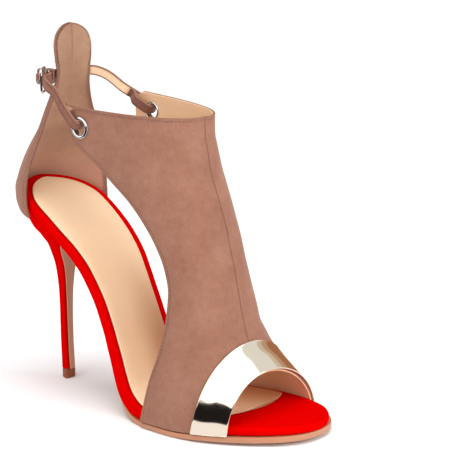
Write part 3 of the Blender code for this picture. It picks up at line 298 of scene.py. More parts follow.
# Rows of the counter from the seat up: shares of FOOT_LENGTH and TAB_HEIGHT for the middle of
# the back, of BALL_WIDTH for the edges' reach to each side, and the row's squareness
CounterRow = namedtuple("CounterRow", "back_along back_up outer_along outer_out outer_up "
                                      "inner_along inner_out inner_up square")
COUNTER_ROWS = [CounterRow(*row) for row in (
    (-0.014, 0.522, 0.117, 0.412, 0.483, 0.134, 0.403, 0.479, 1.80),
    (-0.024, 0.541, 0.110, 0.418, 0.508, 0.131, 0.410, 0.510, 1.80),
    (-0.026, 0.563, 0.107, 0.418, 0.547, 0.128, 0.412, 0.552, 1.78),
    (-0.012, 0.592, 0.109, 0.408, 0.587, 0.127, 0.405, 0.592, 1.76),
    (0.012, 0.636, 0.119, 0.388, 0.633, 0.127, 0.386, 0.636, 1.78),
    (0.049, 0.689, 0.132, 0.353, 0.682, 0.129, 0.347, 0.686, 1.80),
    (0.077, 0.726, 0.140, 0.310, 0.724, 0.132, 0.300, 0.728, 1.80),
    (0.091, 0.769, 0.144, 0.261, 0.769, 0.136, 0.247, 0.771, 1.80),
    (0.103, 0.812, 0.149, 0.209, 0.811, 0.145, 0.200, 0.812, 1.80),
    (0.122, 0.847, 0.153, 0.179, 0.847, 0.152, 0.176, 0.847, 1.80),
    (0.134, 0.876, 0.156, 0.177, 0.876, 0.155, 0.176, 0.876, 1.90),
    (0.139, 0.908, 0.155, 0.192, 0.908, 0.154, 0.192, 0.908, 2.00),
    (0.141, 0.939, 0.153, 0.198, 0.939, 0.152, 0.198, 0.939, 2.00),
    (0.141, 0.966, 0.151, 0.180, 0.966, 0.150, 0.180, 0.966, 2.00),
    (0.140, 0.985, 0.148, 0.134, 0.985, 0.148, 0.134, 0.985, 2.00),
    (0.139, 0.996, 0.143, 0.073, 0.996, 0.143, 0.073, 0.996, 2.00),
    (0.139, 1.000, 0.140, 0.020, 1.000, 0.140, 0.020, 1.000, 2.00),
)]
COUNTER_LAST_ROW = len(COUNTER_ROWS) - 1

# Rows of the heel from the tip up: share of the seat's height, back and front as shares of
# FOOT_LENGTH from the tip's middle, half width as a share of BALL_WIDTH
HeelRow = namedtuple("HeelRow", "up back front half")
HEEL_ROWS = [HeelRow(*row) for row in (
    (0.050, -0.0170, 0.0160, 0.0482),
    (0.210, -0.0208, 0.0117, 0.0470),
    (0.340, -0.0218, 0.0107, 0.0470),
    (0.425, -0.0233, 0.0112, 0.0490),
    (0.510, -0.0284, 0.0132, 0.0570),
    (0.570, -0.0345, 0.0152, 0.0710),
    (0.630, -0.0416, 0.0213, 0.1130),
    (0.680, -0.0475, 0.0345, 0.1640),
)]

# Rows of the heel's seat above those, where its breast runs out along the arch: share of the
# seat's height, back as a share of FOOT_LENGTH, half width as a share of BALL_WIDTH
SeatRow = namedtuple("SeatRow", "up back half")
SEAT_ROWS = [SeatRow(*row) for row in (
    (0.735, -0.0525, 0.218),
    (0.800, -0.0730, 0.295),
    (0.880, -0.0930, 0.338),
    (0.960, -0.1000, 0.350),
)]


# Numbers and curves

def smooth(places, values, at):
    """Monotone cubic through (places, values), read at the given places."""
    x = np.asarray(places, float)
    y = np.asarray(values, float)
    step = np.diff(x)
    slope = np.diff(y) / step
    tangent = np.zeros(len(x))
    tangent[0] = slope[0]
    tangent[-1] = slope[-1]
    for i in range(1, len(x) - 1):
        before = slope[i - 1]
        after = slope[i]
        if before * after > 0:
            w1 = 2 * step[i] + step[i - 1]
            w2 = step[i] + 2 * step[i - 1]
            tangent[i] = (w1 + w2) / (w1 / before + w2 / after)
    at = np.clip(np.asarray(at, float), x[0], x[-1])
    i = np.clip(np.searchsorted(x, at, side="right") - 1, 0, len(x) - 2)
    t = (at - x[i]) / step[i]
    h00 = 2 * t**3 - 3 * t**2 + 1
    h10 = t**3 - 2 * t**2 + t
    h01 = -2 * t**3 + 3 * t**2
    h11 = t**3 - t**2
    near = h00 * y[i] + h10 * step[i] * tangent[i]
    return near + h01 * y[i + 1] + h11 * step[i] * tangent[i + 1]


def column(rows, name, at):
    """Value of one column of a table of rows, read at row numbers."""
    return smooth(range(len(rows)), [getattr(row, name) for row in rows], at)


def unit(vectors):
    """Vectors scaled to length one."""
    length = np.linalg.norm(vectors, axis=-1, keepdims=True)
    return vectors / np.maximum(length, 1e-12)


def lengths_along(points):
    """Running length at each point of a path."""
    steps = np.linalg.norm(np.diff(points, axis=0), axis=1)
    return np.concatenate([[0], np.cumsum(steps)])


def read_path(points, lengths, at):
    """Points of a path at the given running lengths."""
    return np.column_stack([np.interp(at, lengths, points[:, k]) for k in range(3)])


def curve_through(points, spans):
    """Smooth curve through the points, with the given number of steps in each span."""
    points = np.asarray(points, float)
    ends = np.vstack([2 * points[0] - points[1], points, 2 * points[-1] - points[-2]])
    t = (np.arange(spans) / spans)[:, None]
    made = []
    for before, start, end, after in zip(ends, ends[1:], ends[2:], ends[3:]):
        made.append(0.5 * (2 * start + (end - before) * t
                           + (2 * before - 5 * start + 4 * end - after) * t**2
                           + (3 * start - before - 3 * end + after) * t**3))
    return np.vstack(made + [points[-1:]])


def turns_round(count):
    """Angles evenly round a full turn."""
    return np.linspace(0, 2 * pi, count, endpoint=False)


def bump_at(distance, width):
    """Bell of height one over a distance."""
    return np.exp(-(distance / width)**2)


def along_to_x(along):
    """X of a share of the foot's length, measured from the back of the seat."""
    return along * FOOT_LENGTH - SEAT_SETBACK


# Footbed

def bed_column(name, at):
    """Value of one column of the footbed table at the given stations."""
    return smooth([row.at for row in FOOTBED], [getattr(row, name) for row in FOOTBED], at)


def bed_line(at):
    """Middle line of the footbed's top: x and z at the given stations."""
    return np.array([along_to_x(bed_column("along", at)),
                     BALL_TOP + bed_column("rise", at) * HEEL_RISE])


def bed_down(at):
    """Unit vector in the XZ plane that points out of the footbed's underside."""
    step = 0.004
    ahead = bed_line(np.clip(np.asarray(at) + step, 0, 1))
    behind = bed_line(np.clip(np.asarray(at) - step, 0, 1))
    along = (ahead - behind) / np.linalg.norm(ahead - behind, axis=0)
    return np.array([along[1], -along[0]])


def bed_shift(at):
    """Sideways place of the footbed's middle."""
    return bed_column("shift", at) * BALL_WIDTH


def bed_half(at):
    """Half width of the footbed, rounded off at heel and toe."""
    heel = np.clip(np.asarray(at) / HEEL_ROUND, 0, 1)
    toe = np.clip((1 - np.asarray(at)) / TOE_ROUND, 0, 1)
    ends = np.sqrt(1 - (1 - heel)**2) * np.sqrt(1 - (1 - toe)**2)
    return bed_column("half", at) * BALL_WIDTH * ends


def board_thickness(at):
    """Thickness of the covered insole board, fullest where the arch meets the ball."""
    places = [0.0, 0.45, 0.60, BALL_STATION, 0.76, 1.0]
    values = [BOARD_THICKNESS, SHANK_BOARD_THICKNESS, WAIST_BOARD_THICKNESS, BOARD_THICKNESS,
              BOARD_THICKNESS, TOE_BOARD_THICKNESS]
    return smooth(places, values, at)


def bed_point(at, share, depth, half):
    """Point below the footbed: share of the half width to the side, depth along the normal."""
    x, z = bed_line(at)
    down = bed_down(at)
    return np.array([x + down[0] * depth, bed_shift(at) + share * half, z + down[1] * depth])


def bed_under(at):
    """Point in the XZ plane just below the board, at the board's middle."""
    return bed_line(at) + bed_down(at) * (board_thickness(at) + CLEARANCE)


def spread(start, end, count):
    """Stations from start to end, closer together at both ends."""
    turn = (1 - np.cos(np.linspace(0, pi, count))) / 2
    return start + (end - start) * turn


# Faces of the upper

def smooth_share(values, low, high):
    """0 at or below low, 1 at or above high, eased between."""
    share = np.clip((values - low) / (high - low), 0, 1)
    return share * share * (3 - 2 * share)


class Face:
    """Outer face of an upper as a fine grid, read at any row and share across."""

    def __init__(self, rows, middles, edges, squares):
        self.rows = rows
        self.across = np.linspace(-1, 1, 241)
        grid = np.empty((len(rows), len(self.across), 3))
        for i in range(len(rows)):
            for side in (-1, 1):
                picked = self.across * side >= 0
                grid[i, picked] = half_row(middles[i], edges[side][i], squares[side][i],
                                           np.abs(self.across[picked]))
        self.points = grid
        down = np.gradient(grid, axis=0)
        round_foot = np.gradient(grid, axis=1)
        self.normals = unit(np.cross(down, round_foot))

    def read(self, table, row, across):
        """Table value between the grid's own rows and columns."""
        i = np.interp(row, self.rows, np.arange(len(self.rows)))
        j = np.interp(across, self.across, np.arange(len(self.across)))
        i0 = np.minimum(np.floor(i).astype(int), len(self.rows) - 2)
        j0 = np.minimum(np.floor(j).astype(int), len(self.across) - 2)
        a = (i - i0)[..., None]
        b = (j - j0)[..., None]
        near = table[i0, j0] * (1 - b) + table[i0, j0 + 1] * b
        far = table[i0 + 1, j0] * (1 - b) + table[i0 + 1, j0 + 1] * b
        return near * (1 - a) + far * a

    def normal(self, row, across):
        """Unit normals that point away from the foot."""
        return unit(self.read(self.normals, row, across))

    def point(self, row, across, lift=0.0):
        """Points lifted off the face."""
        lifted = np.asarray(lift)[..., None] * self.normal(row, across)
        return self.read(self.points, row, across) + lifted


def half_row(middle, edge, square, shares):
    """Points on a half row from the middle round to an edge, at shares of its length."""
    turn = np.linspace(0, pi / 2, 90)
    corner = np.array([edge[0], middle[1], edge[2]])
    c = np.clip(np.cos(turn), 0, 1)**(2 / square)
    s = np.clip(np.sin(turn), 0, 1)**(2 / square)
    points = corner + np.outer(c, middle - corner) + np.outer(s, edge - corner)
    lengths = lengths_along(points)
    return read_path(points, lengths, shares * lengths[-1])


def foot_edge(at, side):
    """Lower edge of the upper beside the insole board, on the outer (-1) or inner (1) side."""
    low = bed_point(at, 0.0, board_thickness(at) - FOOT_CLEARANCE, 0.0)
    ahead = min(at + FOOT_LEAN, 1.0)
    reach = max(float(side * bed_shift(place) + bed_half(place)) for place in (at, ahead))
    return np.array([low[0], side * (reach + FOOT_CLEARANCE + UPPER_WALL), low[2]])


def vamp_edge(row, side):
    """Edge of the vamp on one side at any row: free above the sole, and along the sole below."""
    name = "outer" if side < 0 else "inner"
    if row >= FOOT_FIRST_ROW:
        return foot_edge(float(column(VAMP_FOOT_ROWS, name + "_at", row - FOOT_FIRST_ROW)), side)
    last = foot_edge(getattr(VAMP_FOOT_ROWS[0], name + "_at"), side)
    places = range(FOOT_FIRST_ROW + 1)
    along = [along_to_x(getattr(each, name + "_along")) for each in VAMP_ROWS] + [last[0]]
    out = [side * getattr(each, name + "_out") * BALL_WIDTH for each in VAMP_ROWS] + [last[1]]
    up = [getattr(each, name + "_up") * COLLAR_HEIGHT for each in VAMP_ROWS] + [last[2]]
    return np.array([float(smooth(places, each, row)) for each in (along, out, up)])


def vamp_faces():
    """Face of the vamp, from the collar down to the toe opening."""
    rows = np.linspace(0, VAMP_LAST_ROW, 211)
    table = VAMP_ROWS + VAMP_FOOT_ROWS
    middles = np.column_stack([along_to_x(column(table, "front_along", rows)), 0 * rows,
                               column(table, "front_up", rows) * COLLAR_HEIGHT])
    edges = {side: [vamp_edge(row, side) for row in rows] for side in (-1, 1)}
    squares = {-1: column(table, "outer_square", rows), 1: column(table, "inner_square", rows)}
    return Face(rows, middles, edges, squares)


def counter_faces():
    """Face of the counter, from the seat up to the top of the tab."""
    rows = np.linspace(0, COUNTER_LAST_ROW, 193)
    middles = np.column_stack([along_to_x(column(COUNTER_ROWS, "back_along", rows)), 0 * rows,
                               column(COUNTER_ROWS, "back_up", rows) * TAB_HEIGHT])
    edges = {}
    for side, name in ((-1, "outer"), (1, "inner")):
        edges[side] = np.column_stack([
            along_to_x(column(COUNTER_ROWS, name + "_along", rows)),
            side * column(COUNTER_ROWS, name + "_out", rows) * BALL_WIDTH,
            column(COUNTER_ROWS, name + "_up", rows) * TAB_HEIGHT])
    square = column(COUNTER_ROWS, "square", rows)
    return Face(rows, middles, edges, {-1: square, 1: square})


VAMP = vamp_faces()
COUNTER = counter_faces()


# Node groups and materials

STROKE_FINENESS = 5.0
CLOUD_SHARE, STROKE_SHARE = 0.68, 0.32
STROKE_HEIGHT = 0.6
PORE_FINENESS = 60.0
PORE_HEIGHT = 0.5


def put(tree, kind, values=(), **settings):
    """New node with its settings and its input values."""
    made = tree.nodes.new(kind)
    for name, value in settings.items():
        setattr(made, name, value)
    for name, value in dict(values).items():
        made.inputs[name].default_value = value
    return made


def feed(tree, value, socket):
    """Output of a node, or a fixed value, into an input."""
    if isinstance(value, bpy.types.NodeSocket):
        tree.links.new(value, socket)
    else:
        socket.default_value = value


def math(tree, operation, first, second):
    """Math node on two sockets or numbers; its output."""
    made = put(tree, "ShaderNodeMath", operation=operation)
    feed(tree, first, made.inputs[0])
    feed(tree, second, made.inputs[1])
    return made.outputs[0]


def noise(tree, place, scale, detail, roughness=0.5):
    """Noise texture at a place with a scale; its factor."""
    made = put(tree, "ShaderNodeTexNoise", {"Detail": detail, "Roughness": roughness})
    tree.links.new(place, made.inputs["Vector"])
    tree.links.new(scale, made.inputs["Scale"])
    return made.outputs["Fac"]


def effect(name, inputs, outputs=("Shade", "Height")):
    """Shader node group with named inputs and outputs: the group, its given values, its ends and
    the place on the piece."""
    group = bpy.data.node_groups.new(name, "ShaderNodeTree")
    for label, value in inputs.items():
        socket = group.interface.new_socket(name=label, in_out="INPUT",
                                            socket_type="NodeSocketFloat")
        socket.default_value = value
    for label in outputs:
        group.interface.new_socket(name=label, in_out="OUTPUT", socket_type="NodeSocketFloat")
    given = group.nodes.new("NodeGroupInput").outputs
    out = group.nodes.new("NodeGroupOutput").inputs
    return group, given, out, put(group, "ShaderNodeTexCoord").outputs["Object"]


def nap_effect():
    """Brushed nap: soft clouds where the fibres lie differently, and the fibres themselves."""
    group, given, out, place = effect(
        "brushed nap",
        {"Fibre size": 0.0004, "Cloud size": 0.016, "Cloud contrast": 0.5, "Fibre contrast": 0.3})
    calc = partial(math, group)
    cloud_scale = calc("DIVIDE", 1.0, given["Cloud size"])
    fibre_scale = calc("DIVIDE", 1.0, given["Fibre size"])
    cloud = noise(group, place, cloud_scale, 3.0, 0.55)
    stroke = noise(group, place, calc("MULTIPLY", cloud_scale, STROKE_FINENESS), 3.0, 0.6)
    fibre = noise(group, place, fibre_scale, 2.0, 0.6)
    mixed = calc("ADD", calc("MULTIPLY", cloud, CLOUD_SHARE),
                 calc("MULTIPLY", stroke, STROKE_SHARE))
    clouds = calc("MULTIPLY", calc("SUBTRACT", mixed, 0.5), given["Cloud contrast"])
    fibres = calc("MULTIPLY", calc("SUBTRACT", fibre, 0.5), given["Fibre contrast"])
    group.links.new(calc("ADD", 0.5, calc("ADD", clouds, fibres)), out["Shade"])
    group.links.new(calc("ADD", fibre, calc("MULTIPLY", stroke, STROKE_HEIGHT)), out["Height"])
    return group


def grain_effect():
    """Fine leather grain: small cells with soft creases, and slow changes of tone."""
    group, given, out, place = effect(
        "leather grain", {"Cell size": 0.0006, "Tone size": 0.03, "Tone contrast": 0.3})
    calc = partial(math, group)
    cells = put(group, "ShaderNodeTexVoronoi", feature="SMOOTH_F1")
    group.links.new(place, cells.inputs["Vector"])
    group.links.new(calc("DIVIDE", 1.0, given["Cell size"]), cells.inputs["Scale"])
    tone_scale = calc("DIVIDE", 1.0, given["Tone size"])
    tone = noise(group, place, tone_scale, 3.0, 0.55)
    shade = calc("MULTIPLY", calc("SUBTRACT", tone, 0.5), given["Tone contrast"])
    group.links.new(calc("ADD", 0.5, shade), out["Shade"])
    pores = noise(group, place, calc("MULTIPLY", tone_scale, PORE_FINENESS), 2.0)
    group.links.new(calc("ADD", cells.outputs["Distance"], calc("MULTIPLY", pores, PORE_HEIGHT)),
                    out["Height"])
    return group


def scuff_effect():
    """Handling marks on a shiny surface: a soft unevenness and hairline scratches."""
    group, given, out, place = effect(
        "handling marks", {"Wave size": 0.01, "Mark size": 0.0008, "Marks": 0.1},
        ("Dullness", "Height"))
    calc = partial(math, group)
    wave = noise(group, place, calc("DIVIDE", 1.0, given["Wave size"]), 1.0)
    mark = noise(group, place, calc("DIVIDE", 1.0, given["Mark size"]), 3.0, 0.7)
    group.links.new(calc("MULTIPLY", mark, given["Marks"]), out["Dullness"])
    group.links.new(wave, out["Height"])
    return group


NAP = nap_effect()
GRAIN = grain_effect()
SCUFF = scuff_effect()


def nap(cloud_size, cloud_contrast, fibre_contrast=1.0, fibre_size=0.0006):
    """Brushed nap and its values."""
    return NAP, {"Fibre size": fibre_size, "Cloud size": cloud_size,
                 "Cloud contrast": cloud_contrast, "Fibre contrast": fibre_contrast}


def grain(cell_size, tone_size, tone_contrast):
    """Leather grain and its values."""
    return GRAIN, {"Cell size": cell_size, "Tone size": tone_size, "Tone contrast": tone_contrast}


def scuffs(wave_size, mark_size, marks):
    """Handling marks and their values."""
    return SCUFF, {"Wave size": wave_size, "Mark size": mark_size, "Marks": marks}


def blend_colours(tree, share, *colours):
    """Colour between two colours, each a socket or a fixed colour; its output."""
    made = put(tree, "ShaderNodeMix", data_type="RGBA")
    for index, value in zip((6, 7), colours):
        feed(tree, (*value, 1.0) if isinstance(value, tuple) else value, made.inputs[index])
    tree.links.new(share, made.inputs[0])
    return made.outputs[2]


def finish(name, surface, tone, colours=(), relief=0.0, roughness=None, **masks):
    """Material of one finish. surface holds the shader's fixed values, tone the effect and its
    values, colours the effect's low and high colours, and masks the meshes' tones, painted light
    and shade among them."""
    made = bpy.data.materials.new(name)
    made.use_nodes = True
    tree = made.node_tree
    shader = tree.nodes["Principled BSDF"]
    for label, value in surface.items():
        shader.inputs[label].default_value = value
    group, values = tone
    laid = put(tree, "ShaderNodeGroup", values, node_tree=group).outputs
    if colours:
        mixed = blend_colours(tree, laid["Shade"], *colours)
        for mask, colour in masks.items():
            read = put(tree, "ShaderNodeAttribute", attribute_name=mask)
            mixed = blend_colours(tree, read.outputs["Fac"], mixed, colour)
        tree.links.new(mixed, shader.inputs["Base Color"])
    bump = put(tree, "ShaderNodeBump", {"Strength": 1.0, "Distance": relief})
    tree.links.new(laid["Height"], bump.inputs["Height"])
    tree.links.new(bump.outputs["Normal"], shader.inputs["Normal"])
    if roughness is not None:
        tree.links.new(math(tree, "ADD", roughness, laid["Dullness"]), shader.inputs["Roughness"])
    made.diffuse_color = shader.inputs["Base Color"].default_value[:]
    return made


SUEDE_SURFACE = {"Roughness": 0.95, "Specular IOR Level": 0.12, "Sheen Weight": 0.20,
                 "Sheen Roughness": 0.45, "Sheen Tint": (1.0, 0.86, 0.78, 1.0)}
LINING_SURFACE = {"Roughness": 0.42, "Specular IOR Level": 0.42, "Coat Weight": 0.06,
                  "Coat Roughness": 0.35}
# Its seam colour darkens the seam, and along the stitch troughs it is painted shade
TAUPE_SUEDE = finish("taupe suede", SUEDE_SURFACE, nap(0.018, 1.7),
                     ((0.216, 0.088, 0.055), (0.342, 0.168, 0.116)), 0.00014,
                     seam=(0.115, 0.046, 0.032), edge=(0.22, 0.10, 0.068))
# Its seam colour is painted shade along the strap's stitch grooves
STRAP_SUEDE = finish("strap suede", SUEDE_SURFACE, nap(0.006, 1.6),
                     ((0.180, 0.070, 0.046), (0.275, 0.122, 0.083)), 0.00012,
                     seam=(0.085, 0.032, 0.022))
# Its deep colour is painted light: the counter's lining is made lighter low inside the counter,
# where little light reaches
TAN_SUEDE = finish("tan suede", SUEDE_SURFACE, nap(0.014, 1.5, 0.8),
                   ((0.296, 0.156, 0.097), (0.434, 0.272, 0.175)), 0.00010,
                   deep=(0.64, 0.375, 0.265), seam=(0.19, 0.085, 0.052), edge=(0.22, 0.10, 0.068))
SUEDE_EDGE = finish("cut suede edge", {"Roughness": 0.8, "Specular IOR Level": 0.25},
                    grain(0.0004, 0.008, 0.8), ((0.22, 0.100, 0.070), (0.31, 0.155, 0.110)),
                    0.00006)
RED_SUEDE = finish("red suede",
                   {"Roughness": 0.9, "Specular IOR Level": 0.0, "Sheen Weight": 0.012,
                    "Sheen Tint": (1.0, 0.10, 0.06, 1.0)},
                   nap(0.02, 0.8, 0.5, 0.0004), ((0.52, 0.0, 0.0), (0.69, 0.0002, 0.0)), 0.00006)
# Its deep colour is painted shade: the sock is darkened towards the vamp, warmed by the bounce
# from the vamp's lining
BEIGE_LINING = finish("beige lining leather", LINING_SURFACE, grain(0.00055, 0.03, 0.7),
                      ((0.86, 0.575, 0.345), (0.95, 0.735, 0.51)), 0.00003,
                      # On the sock's side walls the edge colour is partly a darker cut edge,
                      # partly painted shade and red bounce from the board
                      deep=(0.48, 0.195, 0.070), edge=(0.42, 0.15, 0.08))
# Darker, more orange copy of the beige lining: partly the lining's own tone, partly painted shade
# and red bounce inside the vamp
VAMP_LINING = finish("vamp lining leather with painted shade", LINING_SURFACE, grain(0.00055, 0.03, 0.7),
                     ((0.75, 0.455, 0.26), (0.87, 0.62, 0.395)), 0.00003,
                     edge=(0.50, 0.25, 0.13))
# Its edge colour is painted red bounce from the board, along the top of the outsole's edge
SOLE_LEATHER = finish("natural sole leather",
                      {"Roughness": 0.45, "Specular IOR Level": 0.45, "Coat Weight": 0.10,
                       "Coat Roughness": 0.3},
                      grain(0.0007, 0.02, 0.8), ((0.375, 0.150, 0.077), (0.51, 0.235, 0.127)),
                      0.00004, edge=(0.42, 0.17, 0.09))
TIP_RUBBER = finish("hard brown rubber", {"Roughness": 0.5, "Specular IOR Level": 0.4},
                    grain(0.0005, 0.006, 0.9), ((0.14, 0.030, 0.006), (0.30, 0.072, 0.018)),
                    0.00004)
THREAD = finish("waxed thread", {"Roughness": 0.6, "Specular IOR Level": 0.3},
                grain(0.0003, 0.004, 0.8), ((0.26, 0.120, 0.085), (0.36, 0.185, 0.135)), 0.00003)
MIRROR_GOLD = finish("pale gold mirror foil",
                     {"Metallic": 1.0, "Base Color": (0.88, 0.79, 0.65, 1.0)},
                     scuffs(0.012, 0.0009, 0.06), relief=0.00002, roughness=0.05)
POLISHED_METAL = finish("polished silver metal",
                        {"Metallic": 1.0, "Base Color": (0.64, 0.63, 0.62, 1.0)},
                        scuffs(0.003, 0.0004, 0.10), relief=0.000008, roughness=0.07)


# Making pieces

def made_mesh(points, faces, finishes, finish_of_face=None, tones=None):
    """Mesh with its finishes, the tones of its points, and sharp edges kept."""
    mesh = bpy.data.meshes.new("made")
    mesh.from_pydata([tuple(point) for point in points], [], [tuple(face) for face in faces])
    for made in finishes:
        mesh.materials.append(made)
    if finish_of_face is not None:
        mesh.polygons.foreach_set("material_index", np.asarray(finish_of_face, np.int32))
    for label, values in (tones or {}).items():
        attribute = mesh.attributes.new(label, "FLOAT", "POINT")
        attribute.data.foreach_set("value", np.asarray(values, np.float32))
    work = bmesh.new()
    work.from_mesh(mesh)
    bmesh.ops.recalc_face_normals(work, faces=work.faces)
    work.to_mesh(mesh)
    work.free()
    mesh.shade_smooth()
    mesh.set_sharp_from_angle(angle=SHARP_ANGLE)
    return mesh


def shown(name, data):
    """New object in the scene."""
    made = bpy.data.objects.new(name, data)
    bpy.context.scene.collection.objects.link(made)
    return made


def add_piece(name, mesh, slot, *nodes):
    """Piece that rides with the shoe and stands for the given nodes."""
    mesh.name = name
    piece = shown(name, mesh)
    if nodes:
        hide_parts(*nodes)
    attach(piece, "root")
    return piece


def cut_away(piece, tool):
    """Cut a tool's body out of a piece."""
    cut = piece.modifiers.new("cut", "BOOLEAN")
    cut.object = tool
    cut.operation = "DIFFERENCE"
    bpy.context.view_layer.update()
    left = piece.evaluated_get(bpy.context.evaluated_depsgraph_get())
    piece.data = bpy.data.meshes.new_from_object(left)
    piece.modifiers.clear()
    piece.data.set_sharp_from_angle(angle=SHARP_ANGLE)
    bpy.data.objects.remove(tool)


def punch(piece, name, radius, depth, segments, stand):
    """Cut a round hole through a piece, along the Z of a matrix."""
    work = bmesh.new()
    bmesh.ops.create_cone(work, cap_ends=True, segments=segments, depth=depth, radius1=radius,
                          radius2=radius)
    mesh = bpy.data.meshes.new(name)
    work.to_mesh(mesh)
    work.free()
    tool = shown(name, mesh)
    tool.matrix_world = stand
    cut_away(piece, tool)


def grid_faces(rows, columns, start=0, closed=False):
    """Faces between the rows of a grid, whose columns may join round."""
    i = np.arange(rows - 1)[:, None]
    j = np.arange(columns if closed else columns - 1)[None, :]
    k = (j + 1) % columns
    faces = np.stack([i * columns + j, i * columns + k, (i + 1) * columns + k,
                      (i + 1) * columns + j], axis=-1)
    return faces.reshape(-1, 4) + start


def rim_loop(rows, columns):
    """Places round the border of a grid, in order."""
    top = [(0, j) for j in range(columns)]
    right = [(i, columns - 1) for i in range(1, rows)]
    bottom = [(rows - 1, j) for j in range(columns - 2, -1, -1)]
    left = [(i, 0) for i in range(rows - 2, 0, -1)]
    return top + right + bottom + left


def sheet_mesh(front, normals, wall, finishes, tones=None):
    """Sheet of leather from a grid of points: a front, a back one wall behind, and a round rim.

    The three finishes are those of the front, the rim and the back."""
    rows, columns = front.shape[:2]
    back = front - normals * np.asarray(wall)[..., None]
    loop = rim_loop(rows, columns)
    rim_points = []
    for i, j in loop:
        i_in = min(max(i, 1), rows - 2)
        j_in = min(max(j, 1), columns - 2)
        middle = (front[i, j] + back[i, j]) / 2
        half = (front[i, j] - back[i, j]) / 2
        away = front[i, j] - front[i_in, j_in]
        away = unit(away - away.dot(unit(half)) * unit(half)) * np.linalg.norm(half) * RIM_ROUND
        rim_points.append([middle + half * sin(radians(turn)) + away * cos(radians(turn))
                           for turn in RIM_TURNS])
    count = rows * columns
    faces = [grid_faces(rows, columns)[:, ::-1], grid_faces(rows, columns, count)]
    kinds = [0] * len(faces[0]) + [2] * len(faces[1])
    ring = len(loop)
    first = np.array([i * columns + j for i, j in loop])
    levels = [first] + [2 * count + np.arange(ring) * len(RIM_TURNS) + k
                        for k in range(len(RIM_TURNS))] + [first + count]
    for near, far in zip(levels, levels[1:]):
        faces.append(np.column_stack([near, np.roll(near, -1), np.roll(far, -1), far]))
        kinds += [1] * ring
    points = np.vstack([np.reshape(each, (-1, 3)) for each in (front, back, rim_points)])
    every = {}
    for label, values in (tones or {}).items():
        flat = values.reshape(-1)
        every[label] = np.concatenate([flat, flat, np.repeat(flat[first], len(RIM_TURNS))])
    return made_mesh(points, np.vstack(faces), finishes, kinds, every)


def loft_mesh(rings, finishes, kinds=None, closed=False, tones=None):
    """Closed body through rings of points, capped at its ends or joined round in a loop.

    kinds gives each step round a ring its finish."""
    rings = np.asarray(rings)
    count, around = rings.shape[:2]
    if closed:
        rings = np.concatenate([rings, rings[:1]])
    faces = grid_faces(len(rings), around, closed=True).tolist()
    step_kinds = list(kinds) if kinds is not None else [0] * around
    face_kinds = step_kinds * (len(rings) - 1)
    if closed:
        faces = [[place % (count * around) for place in face] for face in faces]
    else:
        faces += [list(range(around))[::-1], list(range((count - 1) * around, count * around))]
        face_kinds += [step_kinds[0], step_kinds[0]]
    return made_mesh(rings[:count].reshape(-1, 3), faces, finishes, face_kinds, tones)


def turned_mesh(profile, steps, place, finishes):
    """Turned ring: a closed profile of (radius, height) swept round the Z of a matrix."""
    profile = np.asarray(profile)
    rings = [[tuple(place @ Vector((radius * cos(turn), radius * sin(turn), up)))
              for radius, up in profile] for turn in turns_round(steps)]
    return loft_mesh(rings, finishes, closed=True)


def path_frames(points, widths, closed=False):
    """Unit vectors across and through a flat strap at each point of its path."""
    if closed:
        along = np.roll(points, -1, axis=0) - np.roll(points, 1, axis=0)
    else:
        along = np.gradient(points, axis=0)
    along = unit(along)
    side = unit(widths - np.sum(widths * along, axis=1, keepdims=True) * along)
    return side, np.cross(along, side)


def strap_profile(width, thickness):
    """Section of a strap whose suede is turned over the edges of its lining: (across, through)
    pairs and each step's finish, 0 on the suede face, 1 on the edges and 2 on the lining."""
    half = width / 2
    deep = thickness / 2
    corner = 0.40 * thickness
    rise = np.radians([0, 30, 60, 90])
    low = [(half - corner + corner * sin(t), -deep + corner - corner * cos(t)) for t in rise]
    high = [(half - corner + corner * cos(t), deep - corner + corner * sin(t)) for t in rise]
    turn_end = half - STRAP_TURNED_SHARE * width
    right = [(turn_end - 0.0001, -deep + 0.00018), (turn_end, -deep)] + low + high
    line = half - STRAP_STITCH_INSET
    top = [(line + 0.0002, deep), (line, deep - STRAP_CROWN),
           (line - 0.0002, deep - STRAP_CROWN / 2), (line - 0.0005, deep + STRAP_CROWN),
           (half * 0.3, deep + 1.5 * STRAP_CROWN)]
    top += [(-a, b) for a, b in reversed(top)]
    left = [(-a, b) for a, b in reversed(right)]
    profile = right + top + left
    return profile, [1] * 8 + [0] * (len(top) + 5) + [1] * 6 + [2]


def strap_mesh(points, widths, width, thickness, finishes, suede_side=1, closed=False, lined=1.0):
    """Strap along a path, its suede towards one side of it and lined up to a share of it."""
    side, up = path_frames(points, widths, closed)
    profile, kinds = strap_profile(width, thickness)
    rings = [[point + across * a + through * (b * suede_side) for a, b in profile]
             for point, across, through in zip(points, side, up)]
    line = width / 2 - STRAP_STITCH_INSET
    # Painted shade along the stitch grooves, carried in the seam tone
    tone = [STRAP_STITCH_PAINTED_SHADE * bump_at(abs(a) - line, STRAP_STITCH_PAINTED_SHADE_WIDTH) if b > 0 else 0.0
            for a, b in profile]
    mesh = loft_mesh(rings, finishes, kinds, closed, tones={"seam": tone * len(rings)})
    steps = len(profile)
    for face in mesh.polygons:
        if face.material_index == 2 and face.index / steps > lined * len(points):
            face.material_index = 0
    return mesh


def wire_mesh(points, radii, sides, finishes):
    """Round wire along a path, of the given radius at each point."""
    along = unit(np.gradient(points, axis=0))
    across = unit(np.cross(along[0], (0.3, 0.5, 0.81)))
    rings = []
    for point, ahead, radius in zip(points, along, radii):
        across = unit(across - across.dot(ahead) * ahead)
        other = np.cross(ahead, across)
        rings.append([point + (across * cos(t) + other * sin(t)) * radius
                      for t in turns_round(sides)])
    return loft_mesh(rings, finishes)


